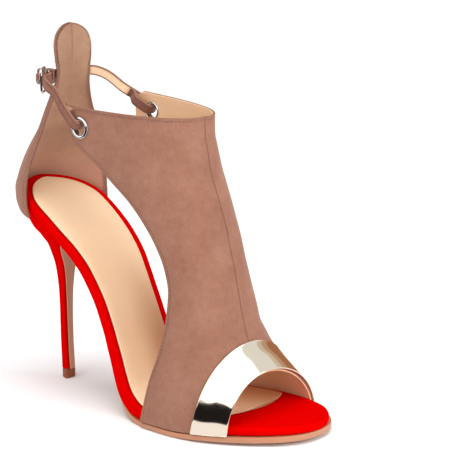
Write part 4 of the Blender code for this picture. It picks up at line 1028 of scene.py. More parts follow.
def stitches(name, lines, pitch=STITCH_PITCH, length=STITCH_LENGTH, radius=THREAD_RADIUS):
    """Rows of thread stitches. Each line is a path and the surface's normals along it."""
    template = [(-0.5 * length, 0.0, -radius)]
    for along, size, lift in STITCH_RINGS:
        for turn in turns_round(STITCH_SIDES):
            template.append((along * length, size * radius * cos(turn),
                             (lift + size * sin(turn)) * radius))
    template.append((0.5 * length, 0.0, -radius))
    template = np.array(template)
    last = len(template) - 1
    faces = (grid_faces(len(STITCH_RINGS), STITCH_SIDES, 1, closed=True)).tolist()
    for k in range(STITCH_SIDES):
        after = (k + 1) % STITCH_SIDES
        faces.append([0, 1 + after, 1 + k])
        low = last - STITCH_SIDES
        faces.append([last, low + k, low + after])
    points = []
    every = []
    for path, normals in lines:
        lengths = lengths_along(path)
        count = max(int(lengths[-1] / pitch), 1)
        places = (np.arange(count) + 0.5) * lengths[-1] / count
        centre = read_path(path, lengths, places)
        ahead = unit(read_path(path, lengths, places + length / 2)
                     - read_path(path, lengths, places - length / 2))
        up = unit(read_path(np.asarray(normals), lengths, places))
        side = unit(np.cross(up, ahead))
        up = np.cross(ahead, side)
        for middle, x, y, z in zip(centre, ahead, side, up):
            start = len(points)
            points.extend(middle + template @ np.array([x, y, z]))
            every += [[start + place for place in face] for face in faces]
    add_piece(name, made_mesh(points, every, (THREAD,)), "suede")


def placed(centre, normal, along=(0, 0, 1)):
    """Matrix that stands a piece's Z along the normal and its X near the given direction."""
    z = Vector(normal).normalized()
    along = Vector(along)
    x = (along - along.dot(z) * z).normalized()
    y = z.cross(x)
    turn = Matrix((x, y, z)).transposed().to_4x4()
    return Matrix.Translation(Vector(centre)) @ turn


def distance_to(points, line):
    """Distance from each point of a grid to the nearest point of a line."""
    flat = points.reshape(-1, 3)
    best = np.full(len(flat), 1.0)
    for place in line:
        best = np.minimum(best, np.linalg.norm(flat - place, axis=1))
    return best.reshape(points.shape[:-1])


def surface_inset(face, row, across, target_row, inset, lift):
    """Line on a face, inset from its border towards the middle of a row near each point."""
    shares = np.linspace(0, 0.6, 61)[:, None]
    rows = row + shares * (np.minimum(row, target_row) - row)
    sides = across * (1 - shares)
    steps = np.linalg.norm(np.diff(face.point(rows, sides), axis=0), axis=-1)
    reach = np.vstack([0 * row, np.cumsum(steps, axis=0)])
    picked = [np.interp(inset, reach[:, k], shares[:, 0]) for k in range(len(row))]
    rows = row + np.array(picked) * (np.minimum(row, target_row) - row)
    sides = across * (1 - np.array(picked))
    return face.point(rows, sides, lift), face.normal(rows, sides)


def soften(line, turns=6):
    """Line with its corners eased."""
    eased = np.array(line)
    for _ in range(turns):
        eased[1:-1] = 0.25 * eased[:-2] + 0.5 * eased[1:-1] + 0.25 * eased[2:]
    return eased


# Vamp

def vamp_border(last_row):
    """Free border of the vamp: up the outer rear edge, along the collar, down the inner edge."""
    rows = np.linspace(last_row, 0, 150)
    shares = np.linspace(-1, 1, 120)[1:-1]
    row = np.concatenate([rows, 0 * shares, rows[::-1]])
    across = np.concatenate([0 * rows - 1, shares, 0 * rows + 1])
    return VAMP.point(row, across), VAMP.normal(row, across)


def both_ways(half):
    """Shares across a face from edge to edge, mirrored about its middle."""
    return np.array([-share for share in reversed(half)] + [0.0] + half)


def vamp_grid(first, last, fine, lift=0.0, width=1.0):
    """Rows and shares of a part of the vamp, its lifted points and their normals."""
    shares = both_ways([*SEAM_SHARES, *np.linspace(0.075, 0.93, 46), 0.945, 0.958, 0.968, 0.977,
                        0.985, 0.991, 0.996, 1.0])
    rows = np.unique(np.concatenate([np.linspace(first, last, fine),
                                     np.linspace(first, min(first + 1.6, last), 17)]))
    row, across = np.meshgrid(rows, shares, indexing="ij")
    return row, across, VAMP.point(row, across * width, lift), VAMP.normal(row, across)


def seam_relief(from_seam, from_border, trough, swell, groove):
    """Lift of suede beside its seam and its stitched border, as shares of the usual depths."""
    return (-trough * STITCH_TROUGH * bump_at(from_border - STITCH_INSET, STITCH_TROUGH_WIDTH)
            + swell * SEAM_SWELL * bump_at(from_seam, SEAM_SWELL_WIDTH)
            - groove * SEAM_GROOVE * bump_at(from_seam, SEAM_GROOVE_WIDTH))


def seam_tones(from_seam, from_border, seam, stitch):
    """Tones of suede: dark in its seam, painted shade along the troughs of its stitches, worn at
    its edge.
    """
    # Painted shade along the stitch troughs
    painted_trough_shade = bump_at(from_border - STITCH_INSET, 0.7 * STITCH_TROUGH_WIDTH)
    return {"seam": np.maximum(seam * bump_at(from_seam, 1.2 * SEAM_GROOVE_WIDTH),
                               stitch * painted_trough_shade),
            "edge": EDGE_TONE * bump_at(from_border, EDGE_TONE_WIDTH)}


def make_vamp():
    """Suede vamp with its front seam and stitched edges, its lining and its stitching."""
    row, across, points, normals = vamp_grid(0.0, VAMP_FRONT_ROW, 120)
    border, border_normals = vamp_border(FOOT_FIRST_ROW)
    from_border = distance_to(points, border)
    from_seam = np.linalg.norm(points - VAMP.point(row, 0 * across), axis=-1)
    relief = seam_relief(from_seam, from_border, 1.0, 1.0, 1.0) + folds(points)
    mesh = sheet_mesh(points + normals * relief[..., None], normals, SUEDE_LAYER + relief,
                      (TAUPE_SUEDE, SUEDE_EDGE, BEIGE_LINING),
                      seam_tones(from_seam, from_border, 0.62, 0.55))
    suede = add_piece("vamp_suede", mesh, "suede", "vamp")
    _, _, points, normals = vamp_grid(0.10, VAMP_LAST_ROW - 0.02, 90, -SUEDE_LAYER - LAYER_GAP,
                                      VAMP_LINING_WIDTH)
    from_border = distance_to(points, border)
    mesh = sheet_mesh(points, normals, UPPER_WALL - SUEDE_LAYER - LAYER_GAP,
                      (VAMP_LINING, VAMP_LINING, VAMP_LINING),
                      {"edge": 0.6 * bump_at(from_border, EDGE_TONE_WIDTH)})
    lining = add_piece("vamp_lining", mesh, "lining_leather")
    for side in (-1, 1):
        for sheet in (suede, lining):
            punch(sheet, "punch", EYELET_BORE_RADIUS + EYELET_BARREL_WALL + CLEARANCE,
                  6 * UPPER_WALL, 40, placed(*eyelet_place(side)))
    inward = -unit(np.cross(border_normals, unit(np.gradient(border, axis=0))))
    stitches("vamp_stitching", [(soften(border + inward * STITCH_INSET), border_normals)])


def folds(points):
    """Soft hollows and swellings, listed one by one, where the suede gives over the instep."""
    lift = np.zeros(points.shape[:-1])
    for middle, along, size, height in FOLDS:
        offset = points - np.array(middle)
        axis = unit(np.array(along, float))
        run = offset @ axis
        off = np.linalg.norm(offset - run[..., None] * axis, axis=-1)
        lift += height * np.exp(-(run / size[0])**2 - (off / size[1])**2)
    return lift


def make_toe_band():
    """Mirror foil band round the toe opening, its front edge turned over the lining."""
    row, across = np.meshgrid(np.linspace(BAND_REAR_ROW, VAMP_LAST_ROW, 40),
                              np.linspace(-1, 1, 161), indexing="ij")
    points = VAMP.point(row, across, CLEARANCE + BAND_THICKNESS)
    normals = VAMP.normal(row, across)
    for _ in range(30):
        normals[1:-1, 1:-1] = unit(normals[:-2, 1:-1] + normals[2:, 1:-1] + normals[1:-1, :-2]
                                   + normals[1:-1, 2:])
    mesh = sheet_mesh(points, normals, BAND_THICKNESS, (MIRROR_GOLD, MIRROR_GOLD, BEIGE_LINING))
    add_piece("toe_band_foil", mesh, "mirror_gold", "toe_band")


# Counter

def counter_border():
    """Rows and sides along the counter's free border: up the outer edge, over the tab and down."""
    rows = np.linspace(0.35, COUNTER_LAST_ROW, 220)
    row = np.concatenate([rows, rows[::-1]])
    return row, np.concatenate([0 * rows - 1, 0 * rows + 1])


def make_counter():
    """Suede counter and tab, lined in tan suede, with its back seam and stitched edges."""
    rows = np.unique(np.concatenate([np.linspace(0, 14, 90), np.linspace(14, 16, 33)]))
    shares = both_ways([*SEAM_SHARES[::2], *np.linspace(0.06, 0.92, 26), 0.945, 0.965, 0.98,
                        0.992, 1.0])
    row, across = np.meshgrid(rows, shares, indexing="ij")
    points = COUNTER.point(row, across)
    normals = COUNTER.normal(row, across)
    border_row, border_side = counter_border()
    from_border = distance_to(points, COUNTER.point(border_row, border_side))
    from_seam = np.abs(points[..., 1])
    relief = seam_relief(from_seam, from_border, 0.7, 0.6, 0.8)
    points = points + normals * relief[..., None]
    mesh = sheet_mesh(points, normals, SUEDE_LAYER + relief, (TAUPE_SUEDE, SUEDE_EDGE, TAN_SUEDE),
                      seam_tones(from_seam, from_border, 0.8, 0.5))
    add_piece("counter_suede", mesh, "suede", "counter")
    inner = COUNTER.point(row, across * COUNTER_LINING_WIDTH, -SUEDE_LAYER - LAYER_GAP)
    tab = np.clip((points[..., 2] - TAB_SEAM_END) / TAB_SEAM_FADE, 0, 1)
    wall = (COUNTER_WALL - SUEDE_LAYER - LAYER_GAP
            - LINING_SEAM_DEPTH * bump_at(from_seam, 1.4 * SEAM_GROOVE_WIDTH) * tab)
    # The deep tone is painted light: the lining is made lighter low inside the counter, where
    # little light reaches
    tones = {"deep": PAINTED_LIGHT_AND_SHADE_TONE * (1 - smooth_share(points[..., 2], *PAINTED_LIGHT_HEIGHTS)),
             "seam": 0.45 * bump_at(from_seam, 1.6 * SEAM_GROOVE_WIDTH) * tab,
             "edge": 0.5 * bump_at(from_border, EDGE_TONE_WIDTH)}
    mesh = sheet_mesh(inner, normals, wall, (TAN_SUEDE, SUEDE_EDGE, TAN_SUEDE), tones)
    add_piece("counter_lining", mesh, "suede")
    lines = []
    for lift, facing in ((0.0, 1), (-COUNTER_WALL, -1)):
        line, line_normals = surface_inset(COUNTER, border_row, border_side, TAB_ROUND_ROW,
                                           STITCH_INSET, lift)
        lines.append((soften(line), line_normals * facing))
    stitches("counter_stitching", lines)


# Sole

def slab_ring(half, top, bottom, radius, corners=4):
    """Outline of a slab with round edges: pairs of share of half width and depth."""
    radius = min(radius, 0.45 * (bottom - top))
    edge = min(radius / half, 0.5)
    turns = np.linspace(0, pi / 2, corners + 1)
    right = [(1 - edge + edge * sin(t), top + radius - radius * cos(t)) for t in turns]
    right += [(1 - edge + edge * cos(t), bottom - radius + radius * sin(t)) for t in turns]
    across = [0.75, 0.5, 0.25, 0.0, -0.25, -0.5, -0.75]
    low = [(share * (1 - edge), bottom) for share in across]
    high = [(-share * (1 - edge), top) for share in across]
    left = [(-share, depth) for share, depth in reversed(right)]
    return right + low + left + high


def make_board():
    """Insole board covered in red suede."""
    rings = []
    for at in spread(*BED_ENDS, 120):
        half = float(bed_half(at))
        section = slab_ring(half, 0.0, float(board_thickness(at)), BOARD_EDGE_RADIUS)
        rings.append([bed_point(at, share, depth, half) for share, depth in section])
    mesh = loft_mesh(rings, (RED_SUEDE,))
    add_piece("insole_board_cover", mesh, "red_suede", "insole_board")


def sock_half(at):
    """Half width of the sock lining: the board's, inset, and rounded off at the back."""
    start = (SOCK_INSET + SOCK_REAR_RIM) / FOOT_LENGTH
    half = float(bed_half(max(at - start * max(0.0, 1 - (at - start) / SOCK_REAR_ROUND), 0.0)))
    return half - SOCK_INSET * min(1.0, half / (4 * SOCK_INSET))


def make_sock():
    """Beige sock lining, inset all round and ending short of the toe."""
    start = (SOCK_INSET + SOCK_REAR_RIM) / FOOT_LENGTH
    top = -SOCK_LIFT - SOCK_THICKNESS
    rings = []
    edge_and_painted_shade, painted_shade_tone = [], []
    for step in spread(0.0015, 1, 110):
        reach = start + (SOCK_FRONT_STATION - start) * step
        ring = []
        for share, depth in slab_ring(sock_half(reach), top, -SOCK_LIFT, SOCK_THICKNESS / 2.4):
            front = SOCK_FRONT_STATION + SOCK_FRONT_SKEW * share + SOCK_FRONT_BOW * (1 - share**2)
            at = start + (front - start) * step
            half = sock_half(at)
            if share > 0:
                share *= max(1 - SOCK_INNER_RIM / half, 0.3)
            ring.append(bed_point(at, share, depth, half))
            # Side walls: partly a darker cut edge, partly painted shade and red bounce from the
            # board
            edge_and_painted_shade.append(SOCK_EDGE_AND_PAINTED_SHADE if depth > top + SOCK_THICKNESS / 3 else 0.0)
            # Painted shade: the sock darkens towards its inner side and its front, beside the vamp
            painted_shade_tone.append(PAINTED_LIGHT_AND_SHADE_TONE * float(smooth_share(share, *SOCK_PAINTED_SHADE_ACROSS)
                                               * smooth_share(at, *SOCK_PAINTED_SHADE_ALONG)))
        rings.append(ring)
    mesh = loft_mesh(rings, (BEIGE_LINING,),
                     tones={"edge": edge_and_painted_shade, "deep": painted_shade_tone})
    add_piece("sock_leather", mesh, "lining_leather", "sock_lining")


def breast_line():
    """Front line of the heel's stem, and its run out along the arch: XZ points from the tip up."""
    stem = [np.array([row.front * FOOT_LENGTH, row.up * SEAT_HEIGHT]) for row in HEEL_ROWS]
    corner = bed_under(BREAST_STATION)
    blend = bed_under(BREAST_BLEND_STATION)
    turn = [(1 - t)**2 * stem[-1] + 2 * t * (1 - t) * corner + t**2 * blend for t in BREAST_TURNS]
    return stem, turn


def outsole_path():
    """Rows of the outsole from the toe to the heel tip: XZ place, shift, half width, thickness."""
    path = []
    for at in spread(BED_ENDS[1], SHANK_SOLE_END, 100):
        ledge = float(smooth(LEDGE_STATIONS, [-SHANK_SOLE_INSET, OUTSOLE_LEDGE], at))
        thickness = float(smooth(TREAD_STATIONS, [SHANK_SOLE_THICKNESS, OUTSOLE_THICKNESS], at))
        half = float(bed_half(at))
        ledge *= min(1.0, half / (3 * OUTSOLE_LEDGE))
        path.append((bed_under(at), float(bed_shift(at)), half + ledge, thickness))
    _, last_shift, last_half, _ = path[-1]
    stem, turn = breast_line()
    top_half = HEEL_ROWS[-1].half * BALL_WIDTH
    for point, t in zip(reversed(turn), reversed(BREAST_TURNS)):
        narrow = 1 - t + BREAST_TURNS[0] / 2
        half = last_half + (top_half - last_half) * narrow
        path.append((point, last_shift * (1 - narrow), half, SHANK_SOLE_THICKNESS))
    for point, row in zip(reversed(stem), reversed(HEEL_ROWS)):
        narrow = float(smooth(STRIP_TAPER_UPS, STRIP_TAPER_SHARES, row.up))
        path.append((point, 0.0, row.half * BALL_WIDTH * narrow, SHANK_SOLE_THICKNESS))
    return path


def fine_outsole_path():
    """The outsole's rows with the coarse ones down the heel's breast filled in, and where those
    begin."""
    path = outsole_path()
    coarse = len(HEEL_ROWS) + len(BREAST_TURNS) + 1
    start = len(path) - coarse
    tail = np.array([[*point, shift, half, thick] for point, shift, half, thick in path[start:]])
    lengths = lengths_along(np.column_stack([tail[:, 0], 0 * tail[:, 0], tail[:, 1]]))
    places = np.linspace(0, lengths[-1], 90)[1:]
    filled = np.column_stack([smooth(lengths, tail[:, k], places) for k in range(5)])
    fine = path[:start + 1] + [(row[:2], row[2], row[3], row[4]) for row in filled]
    return fine, start + 1


def make_outsole():
    """Leather outsole from the toe along the arch and down the breast of the heel."""
    path, on_heel = fine_outsole_path()
    rings = []
    tone = []
    for i, (point, shift, half, thickness) in enumerate(path):
        ahead = path[min(i + 1, len(path) - 1)][0]
        behind = path[max(i - 1, 0)][0]
        along = unit(behind - ahead)
        down = np.array([along[1], -along[0]])
        lift = CLEARANCE * min(max(i - on_heel, 0) / 6, 1.0)
        section = slab_ring(half, lift, lift + thickness, OUTSOLE_EDGE_RADIUS)
        rings.append([(point[0] + down[0] * depth, shift + share * half,
                       max(0.0, point[1] + down[1] * depth)) for share, depth in section])
        for share, depth in section:
            # Painted red bounce from the board, along the top of the outsole's edge
            away = abs((depth - lift) / thickness - SOLE_PAINTED_BOUNCE_DEPTH) / SOLE_PAINTED_BOUNCE_WIDTH
            tone.append(SOLE_PAINTED_BOUNCE * max(0.0, 1 - away) if abs(share) > SOLE_EDGE_SHARE else 0.0)
    mesh = loft_mesh(rings, (SOLE_LEATHER,), tones={"edge": tone})
    add_piece("outsole_leather", mesh, "sole_leather", "outsole")


# Heel

def heel_ring(front, back, half, shift, square):
    """Outline of the heel at one row: flat breast with eased corners in front, round behind."""
    reach = back - front
    depth = np.linalg.norm(reach)
    corner = HEEL_CORNER_SHARE * half
    ring = []
    near_corner = [pi / 2 - turn for turn in (0.004, 0.012, 0.025, 0.045)]
    for turn in sorted([-turn for turn in near_corner] + list(np.linspace(-pi / 2, pi / 2, 45))
                       + near_corner):
        c = max(cos(turn), 0.0)**(2 / square)
        s = abs(sin(turn))**(2 / square)
        side = -1 if turn < 0 else 1
        short = max(corner - depth * c, 0.0)
        wide = half * s - corner + sqrt(corner**2 - short**2)
        ring.append((front[0] + reach[0] * c, shift + side * wide, front[1] + reach[1] * c))
    for share in (0.6, 0.2, -0.2, -0.6):
        ring.append((front[0], shift + share * half, front[1]))
    return ring


def seat_cutter():
    """Body above the underside of the seat, to cut the heel to it."""
    wide = 0.6 * BALL_WIDTH
    high = 0.5 * SEAT_HEIGHT
    slant = 0.15 * SEAT_HEIGHT
    unders = [bed_under(at) for at in spread(0.0, SEAT_CUT_END, 40)]
    unders.insert(0, unders[0] + (bed_under(0.0) - bed_under(0.05)) * 3)
    rings = [[(under[0], -wide, under[1]), (under[0], wide, under[1]),
              (under[0] + slant, wide, under[1] + high),
              (under[0] + slant, -wide, under[1] + high)] for under in unders]
    return shown("seat_cutter", loft_mesh(rings, (RED_SUEDE,)))


def make_heel():
    """Stiletto heel covered in red suede, cut to the underside of the seat."""
    stem, turn = breast_line()
    stem[0] = np.array([stem[0][0], HEEL_TIP_HEIGHT + CLEARANCE])
    shift = float(bed_shift(BREAST_STATION))
    table = [(*front, row.back * FOOT_LENGTH, front[1], row.half * BALL_WIDTH, 0.0, 2.0)
             for row, front in zip(HEEL_ROWS, stem)]
    table += [(*front, row.back * FOOT_LENGTH, row.up * SEAT_HEIGHT, row.half * BALL_WIDTH, shift,
               SEAT_SQUARE) for row, front in zip(SEAT_ROWS, turn)]
    table = np.array(table)
    heights = table[:, 3]
    stem_top = heights[len(HEEL_ROWS) - 1]
    fine = np.concatenate([np.linspace(heights[0], stem_top, 40),
                           np.linspace(stem_top, heights[-1], 30)[1:]])
    rings = []
    for up in fine:
        front_x, front_z, back_x, back_z, half, side, square = (
            float(smooth(heights, table[:, k], up)) for k in range(7))
        rings.append(heel_ring(np.array([front_x, front_z]), np.array([back_x, back_z]),
                               half, side, square))
    rings = np.array(rings)
    rings = np.concatenate([rings, rings[-1:] + [0, 0, SEAT_OVERREACH * SEAT_HEIGHT]])
    mesh = loft_mesh(rings, (RED_SUEDE,))
    cut_away(add_piece("heel_cover", mesh, "red_suede", "heel"), seat_cutter())


def make_heel_tip():
    """Hard top piece that the heel stands on."""
    rings = []
    for up, grow in ((0.0, 0.90), (0.00012, 0.95), (0.0004, 0.985), (0.0008, 1.0),
                     (HEEL_TIP_HEIGHT - 0.0006, 1.0), (HEEL_TIP_HEIGHT - 0.0002, 0.985),
                     (HEEL_TIP_HEIGHT, 0.95)):
        front, back = (np.array([end * HEEL_TIP_DEPTH / 2 * grow, up]) for end in (1, -1))
        rings.append(heel_ring(front, back, HEEL_TIP_HALF_WIDTH * grow, 0.0, 2.0))
    mesh = loft_mesh(rings, (TIP_RUBBER,))
    add_piece("heel_top_piece", mesh, "tip_rubber", "heel_tip")


# Metal and straps

def eyelet_place(side):
    """Middle of an eyelet on the vamp's outer face, and the face's normal there."""
    row, across = OUTER_EYELET if side < 0 else INNER_EYELET
    return VAMP.point(row, across), VAMP.normal(row, across)


def make_eyelet(name, side, node):
    """Turned eyelet: a barrel through the wall with a rolled flange on each face."""
    bore = EYELET_BORE_RADIUS
    inner_rim = EYELET_INNER_FLANGE_SHARE * EYELET_FLANGE_RADIUS
    low = EYELET_SEAT_GAP
    under = -UPPER_WALL - LAYER_GAP
    turns = np.linspace(0, pi, 13)
    middle = (bore + EYELET_FLANGE_RADIUS) / 2
    half = (EYELET_FLANGE_RADIUS - bore) / 2
    profile = [(middle - half * cos(t), low + (EYELET_FLANGE_HEIGHT + CLEARANCE) * sin(t)**0.8)
               for t in turns]
    profile += [(bore + EYELET_BARREL_WALL, low), (bore + EYELET_BARREL_WALL, under)]
    middle = (bore + inner_rim) / 2
    half = (inner_rim - bore) / 2
    profile += [(middle + half * cos(t), under - EYELET_INNER_FLANGE_HEIGHT * 1.6 * sin(t))
                for t in turns]
    mesh = turned_mesh(profile, 64, placed(*eyelet_place(side)), (POLISHED_METAL,))
    add_piece(name, mesh, "polished_metal", node)


def edge_reach(side, centre, pull, across):
    """Distance from an eyelet to the vamp's edge along the strap that pulls on it."""
    edge = [vamp_edge(row, side) for row in np.linspace(0, 4, 17)]
    edge += [VAMP.point(0.0, side * share) for share in np.linspace(0.75, 1, 11)]
    ahead = [point - centre for point in edge if (point - centre).dot(pull) > 0]
    nearest = min(ahead, key=lambda offset: abs(offset.dot(across)))
    return nearest.dot(pull)


def eyelet_loop(side, towards):
    """Strap route round the vamp's rear edge and through an eyelet, tail first, and its width."""
    centre, normal = eyelet_place(side)
    goal = towards - centre
    pull = unit(goal - goal.dot(normal) * normal)
    across = np.cross(normal, pull)
    across = across if across[2] > 0 else -across
    above = EYELET_FLANGE_HEIGHT + 3 * CLEARANCE + STRAP_THICKNESS / 2
    below = -UPPER_WALL - EYELET_INNER_FLANGE_HEIGHT - 6 * CLEARANCE - STRAP_THICKNESS / 2
    edge = edge_reach(side, centre, pull, across)
    bore = EYELET_BORE_RADIUS
    fold = STRAP_THICKNESS + 2 * CLEARANCE

    def outside(past):
        """Reach and lift of the strap past the vamp's edge, on its way to the free stretch."""
        share = past / (goal.dot(pull) - edge)
        return edge + past, above + (goal.dot(normal) - above) * share**LOOP_EASE

    def sag(reach):
        """How far the strap hangs below its straight run past the eyelet."""
        share = min(max((reach - bore) / (goal.dot(pull) - bore), 0.0), 1.0)
        return LOOP_SAG * sin(pi * share) if side > 0 else 0.0

    tail = [outside(past) for past in LOOP_TAIL_REACHES]
    inside = [(edge + past, depth * below) for past, depth in LOOP_INSIDE]
    through = [(reach * bore, lift * (above if lift > 0 else -below))
               for reach, lift in LOOP_THROUGH]
    inner = len(tail) + len(inside)
    route = [(reach, lift - fold) for reach, lift in tail] + inside + through
    route += [(edge - 0.0025, above)] + [outside(past) for past in LOOP_OUTSIDE_REACHES]
    points = [centre + pull * reach + normal * lift
              - across * sag(reach) * (0.5 if k < inner else 1)
              for k, (reach, lift) in enumerate(route)]
    return points, [across] * len(points)


def buckle_axes():
    """Middle of the buckle, and unit vectors along its strap, away from the leg and upwards."""
    centre = np.array(BUCKLE_MIDDLE)
    along = unit(np.array(BUCKLE_FORWARD))
    away = np.array(BUCKLE_AWAY)
    away = unit(away - away.dot(along) * along)
    up = np.cross(away, along)
    return centre, along, away, up if up[2] > 0 else -up


def by_buckle(rows):
    """Points given by their reach along the buckle's strap and their lift away from the leg."""
    centre, along, away, up = buckle_axes()
    return [centre + along * reach + away * lift for reach, lift in rows], [up] * len(rows)


def route_points(rows):
    """Free points of a strap: shares of FOOT_LENGTH, BALL_WIDTH and TAB_HEIGHT."""
    points = [np.array([along * FOOT_LENGTH, out * BALL_WIDTH, up * TAB_HEIGHT])
              for along, out, up in rows]
    return points, [np.array(FREE_STRAP_UP)] * len(rows)


def behind_tab():
    """Strap route across the back of the tab, inner side first."""
    lift = STRAP_THICKNESS / 2 + 2 * CLEARANCE
    points = [COUNTER.point(TAB_STRAP_ROW, across, lift) for across in TAB_STRAP_SHARES]
    widths = [unit(COUNTER.point(TAB_STRAP_ROW + 0.5, across)
                   - COUNTER.point(TAB_STRAP_ROW - 0.5, across)) for across in TAB_STRAP_SHARES]
    return points, widths


def joined(*routes):
    """One array of points and one of widths from several routes, smoothed through."""
    points, widths = [sum((list(route[k]) for route in routes), []) for k in (0, 1)]
    return curve_through(points, 7), curve_through(widths, 7)


def strap_stitch_lines(points, widths, suede_side):
    """Stitch lines along both edges of a strap's suede face."""
    side, up = path_frames(points, widths)
    part = slice(int(STRAP_STITCHED[0] * len(points)), int(STRAP_STITCHED[1] * len(points)))
    lines = []
    for hand in (-1, 1):
        path = (points + side * hand * (STRAP_WIDTH / 2 - STRAP_STITCH_INSET)
                + up * suede_side * STRAP_THICKNESS / 2)
        lines.append((path[part], (up * suede_side)[part]))
    return lines


def make_straps():
    """Long strap behind the tab and short strap through the buckle, each lined and stitched."""
    free = route_points(INNER_ROUTE)
    fold = by_buckle([(FOLD_RADIUS * past - BUCKLE_LENGTH / 2, FOLD_RADIUS * lift)
                      for past, lift in FOLD_ROWS])
    points, widths = joined(eyelet_loop(1, free[0][0]), free, behind_tab(), fold)
    finishes = (STRAP_SUEDE, SUEDE_EDGE, BEIGE_LINING)
    mesh = strap_mesh(points, widths, STRAP_WIDTH, STRAP_THICKNESS, finishes,
                      lined=LONG_STRAP_LINED)
    add_piece("ankle_strap_long", mesh, "suede", "ankle_strap")
    lines = strap_stitch_lines(points, widths, 1)
    free = route_points(OUTER_ROUTE)
    through = by_buckle([(reach * BUCKLE_LENGTH / 2,
                          lift * (STACK_LIFT if lift > 0 else FOLD_RADIUS))
                         for reach, lift in THROUGH_ROWS])
    points, widths = joined(eyelet_loop(-1, free[0][0]), free, through)
    mesh = strap_mesh(points, widths, STRAP_WIDTH, STRAP_THICKNESS, finishes, -1)
    short = add_piece("buckle_strap_short", mesh, "suede", "buckle_strap")
    lines += strap_stitch_lines(points, widths, -1)
    stitches("strap_stitching", lines, STRAP_STITCH_PITCH, STRAP_STITCH_LENGTH,
             STRAP_THREAD_RADIUS)
    start, end = (Vector(point) for point in prong_line())
    punch(short, "prong_punch", 2 * PRONG_RADIUS, 2 * BUCKLE_LENGTH, 24,
          placed((start + end) / 2, end - start, buckle_axes()[3]))


def prong_line():
    """Ends of the prong, from the strap's fold to just past the front bar."""
    bar = BUCKLE_LENGTH / 2
    fold = FOLD_RADIUS + STRAP_THICKNESS / 2 + BUCKLE_CLEARANCE
    rest = BUCKLE_WIRE_RADIUS + 2 * CLEARANCE + PRONG_RADIUS
    return by_buckle([(fold - bar, 0.0), (bar + 2 * PRONG_RADIUS, rest)])[0]


def rounded_rectangle(half_x, half_y, radius, steps, sides):
    """Outline of a rectangle with round corners, as XY pairs, its sides split in steps."""
    outline = []
    corners = [(1, 1, 0), (-1, 1, pi / 2), (-1, -1, pi), (1, -1, 3 * pi / 2)]
    for x, y, start in corners:
        for i in range(steps + 1):
            turn = start + pi / 2 * i / steps
            outline.append((x * (half_x - radius) + radius * cos(turn),
                            y * (half_y - radius) + radius * sin(turn)))
    filled = []
    for near, far in zip(outline, outline[1:] + outline[:1]):
        near, far = np.array(near), np.array(far)
        filled.append(near)
        if np.linalg.norm(far - near) > radius:
            filled += [near + (far - near) * k / sides for k in range(1, sides)]
    return filled


def make_buckle():
    """Polished wire buckle and its prong."""
    centre, along, away, up = buckle_axes()
    outline = rounded_rectangle(BUCKLE_LENGTH / 2, BUCKLE_HEIGHT / 2, BUCKLE_CORNER_RADIUS, 8, 6)
    points = np.array([centre + along * x + up * y for x, y in outline])
    rings = []
    for k, point in enumerate(points):
        ahead = unit(points[(k + 1) % len(points)] - points[k - 1])
        out = np.cross(ahead, away)
        rings.append([point + (away * cos(t) + out * sin(t)) * BUCKLE_WIRE_RADIUS
                      for t in turns_round(16)])
    mesh = loft_mesh(rings, (POLISHED_METAL,), closed=True)
    add_piece("buckle_wire_frame", mesh, "polished_metal", "buckle_frame")
    start, end = prong_line()
    share = np.linspace(0, 1, 24)[:, None]
    line = start + (end - start) * share + away * np.sin(share * pi) * PRONG_BOW
    radii = PRONG_RADIUS * np.clip(np.minimum(share[:, 0], 1 - share[:, 0]) / 0.05, 0.35, 1)**0.5
    mesh = wire_mesh(line, radii, 14, (POLISHED_METAL,))
    add_piece("buckle_tongue", mesh, "polished_metal", "buckle_prong")


def make_keeper():
    """Leather keeper round the strap's layers beside the buckle."""
    centre, along, away, up = buckle_axes()
    place = -BUCKLE_LENGTH / 2 - KEEPER_REACH
    room = STRAP_THICKNESS / 2 + KEEPER_PLAY
    low = FOLD_ROWS[0][1] * FOLD_RADIUS - room
    high = KEEPER_STACK * STACK_LIFT + room
    half_away = (high - low + KEEPER_THICKNESS) / 2
    half_up = (STRAP_WIDTH + KEEPER_THICKNESS) / 2 + KEEPER_PLAY
    outline = rounded_rectangle(half_away, half_up, KEEPER_THICKNESS, 8, 8)
    middle = centre + along * place + away * (low + high) / 2
    points = np.array([middle + away * x + up * y for x, y in outline])
    widths = np.array([along] * len(points))
    _, through = path_frames(points, widths, True)
    outwards = np.sum(through * (points - middle), axis=1).mean()
    mesh = strap_mesh(points, widths, KEEPER_WIDTH, KEEPER_THICKNESS,
                      (TAUPE_SUEDE, SUEDE_EDGE, BEIGE_LINING), 1 if outwards > 0 else -1, True)
    add_piece("keeper_leather", mesh, "suede", "keeper_loop")


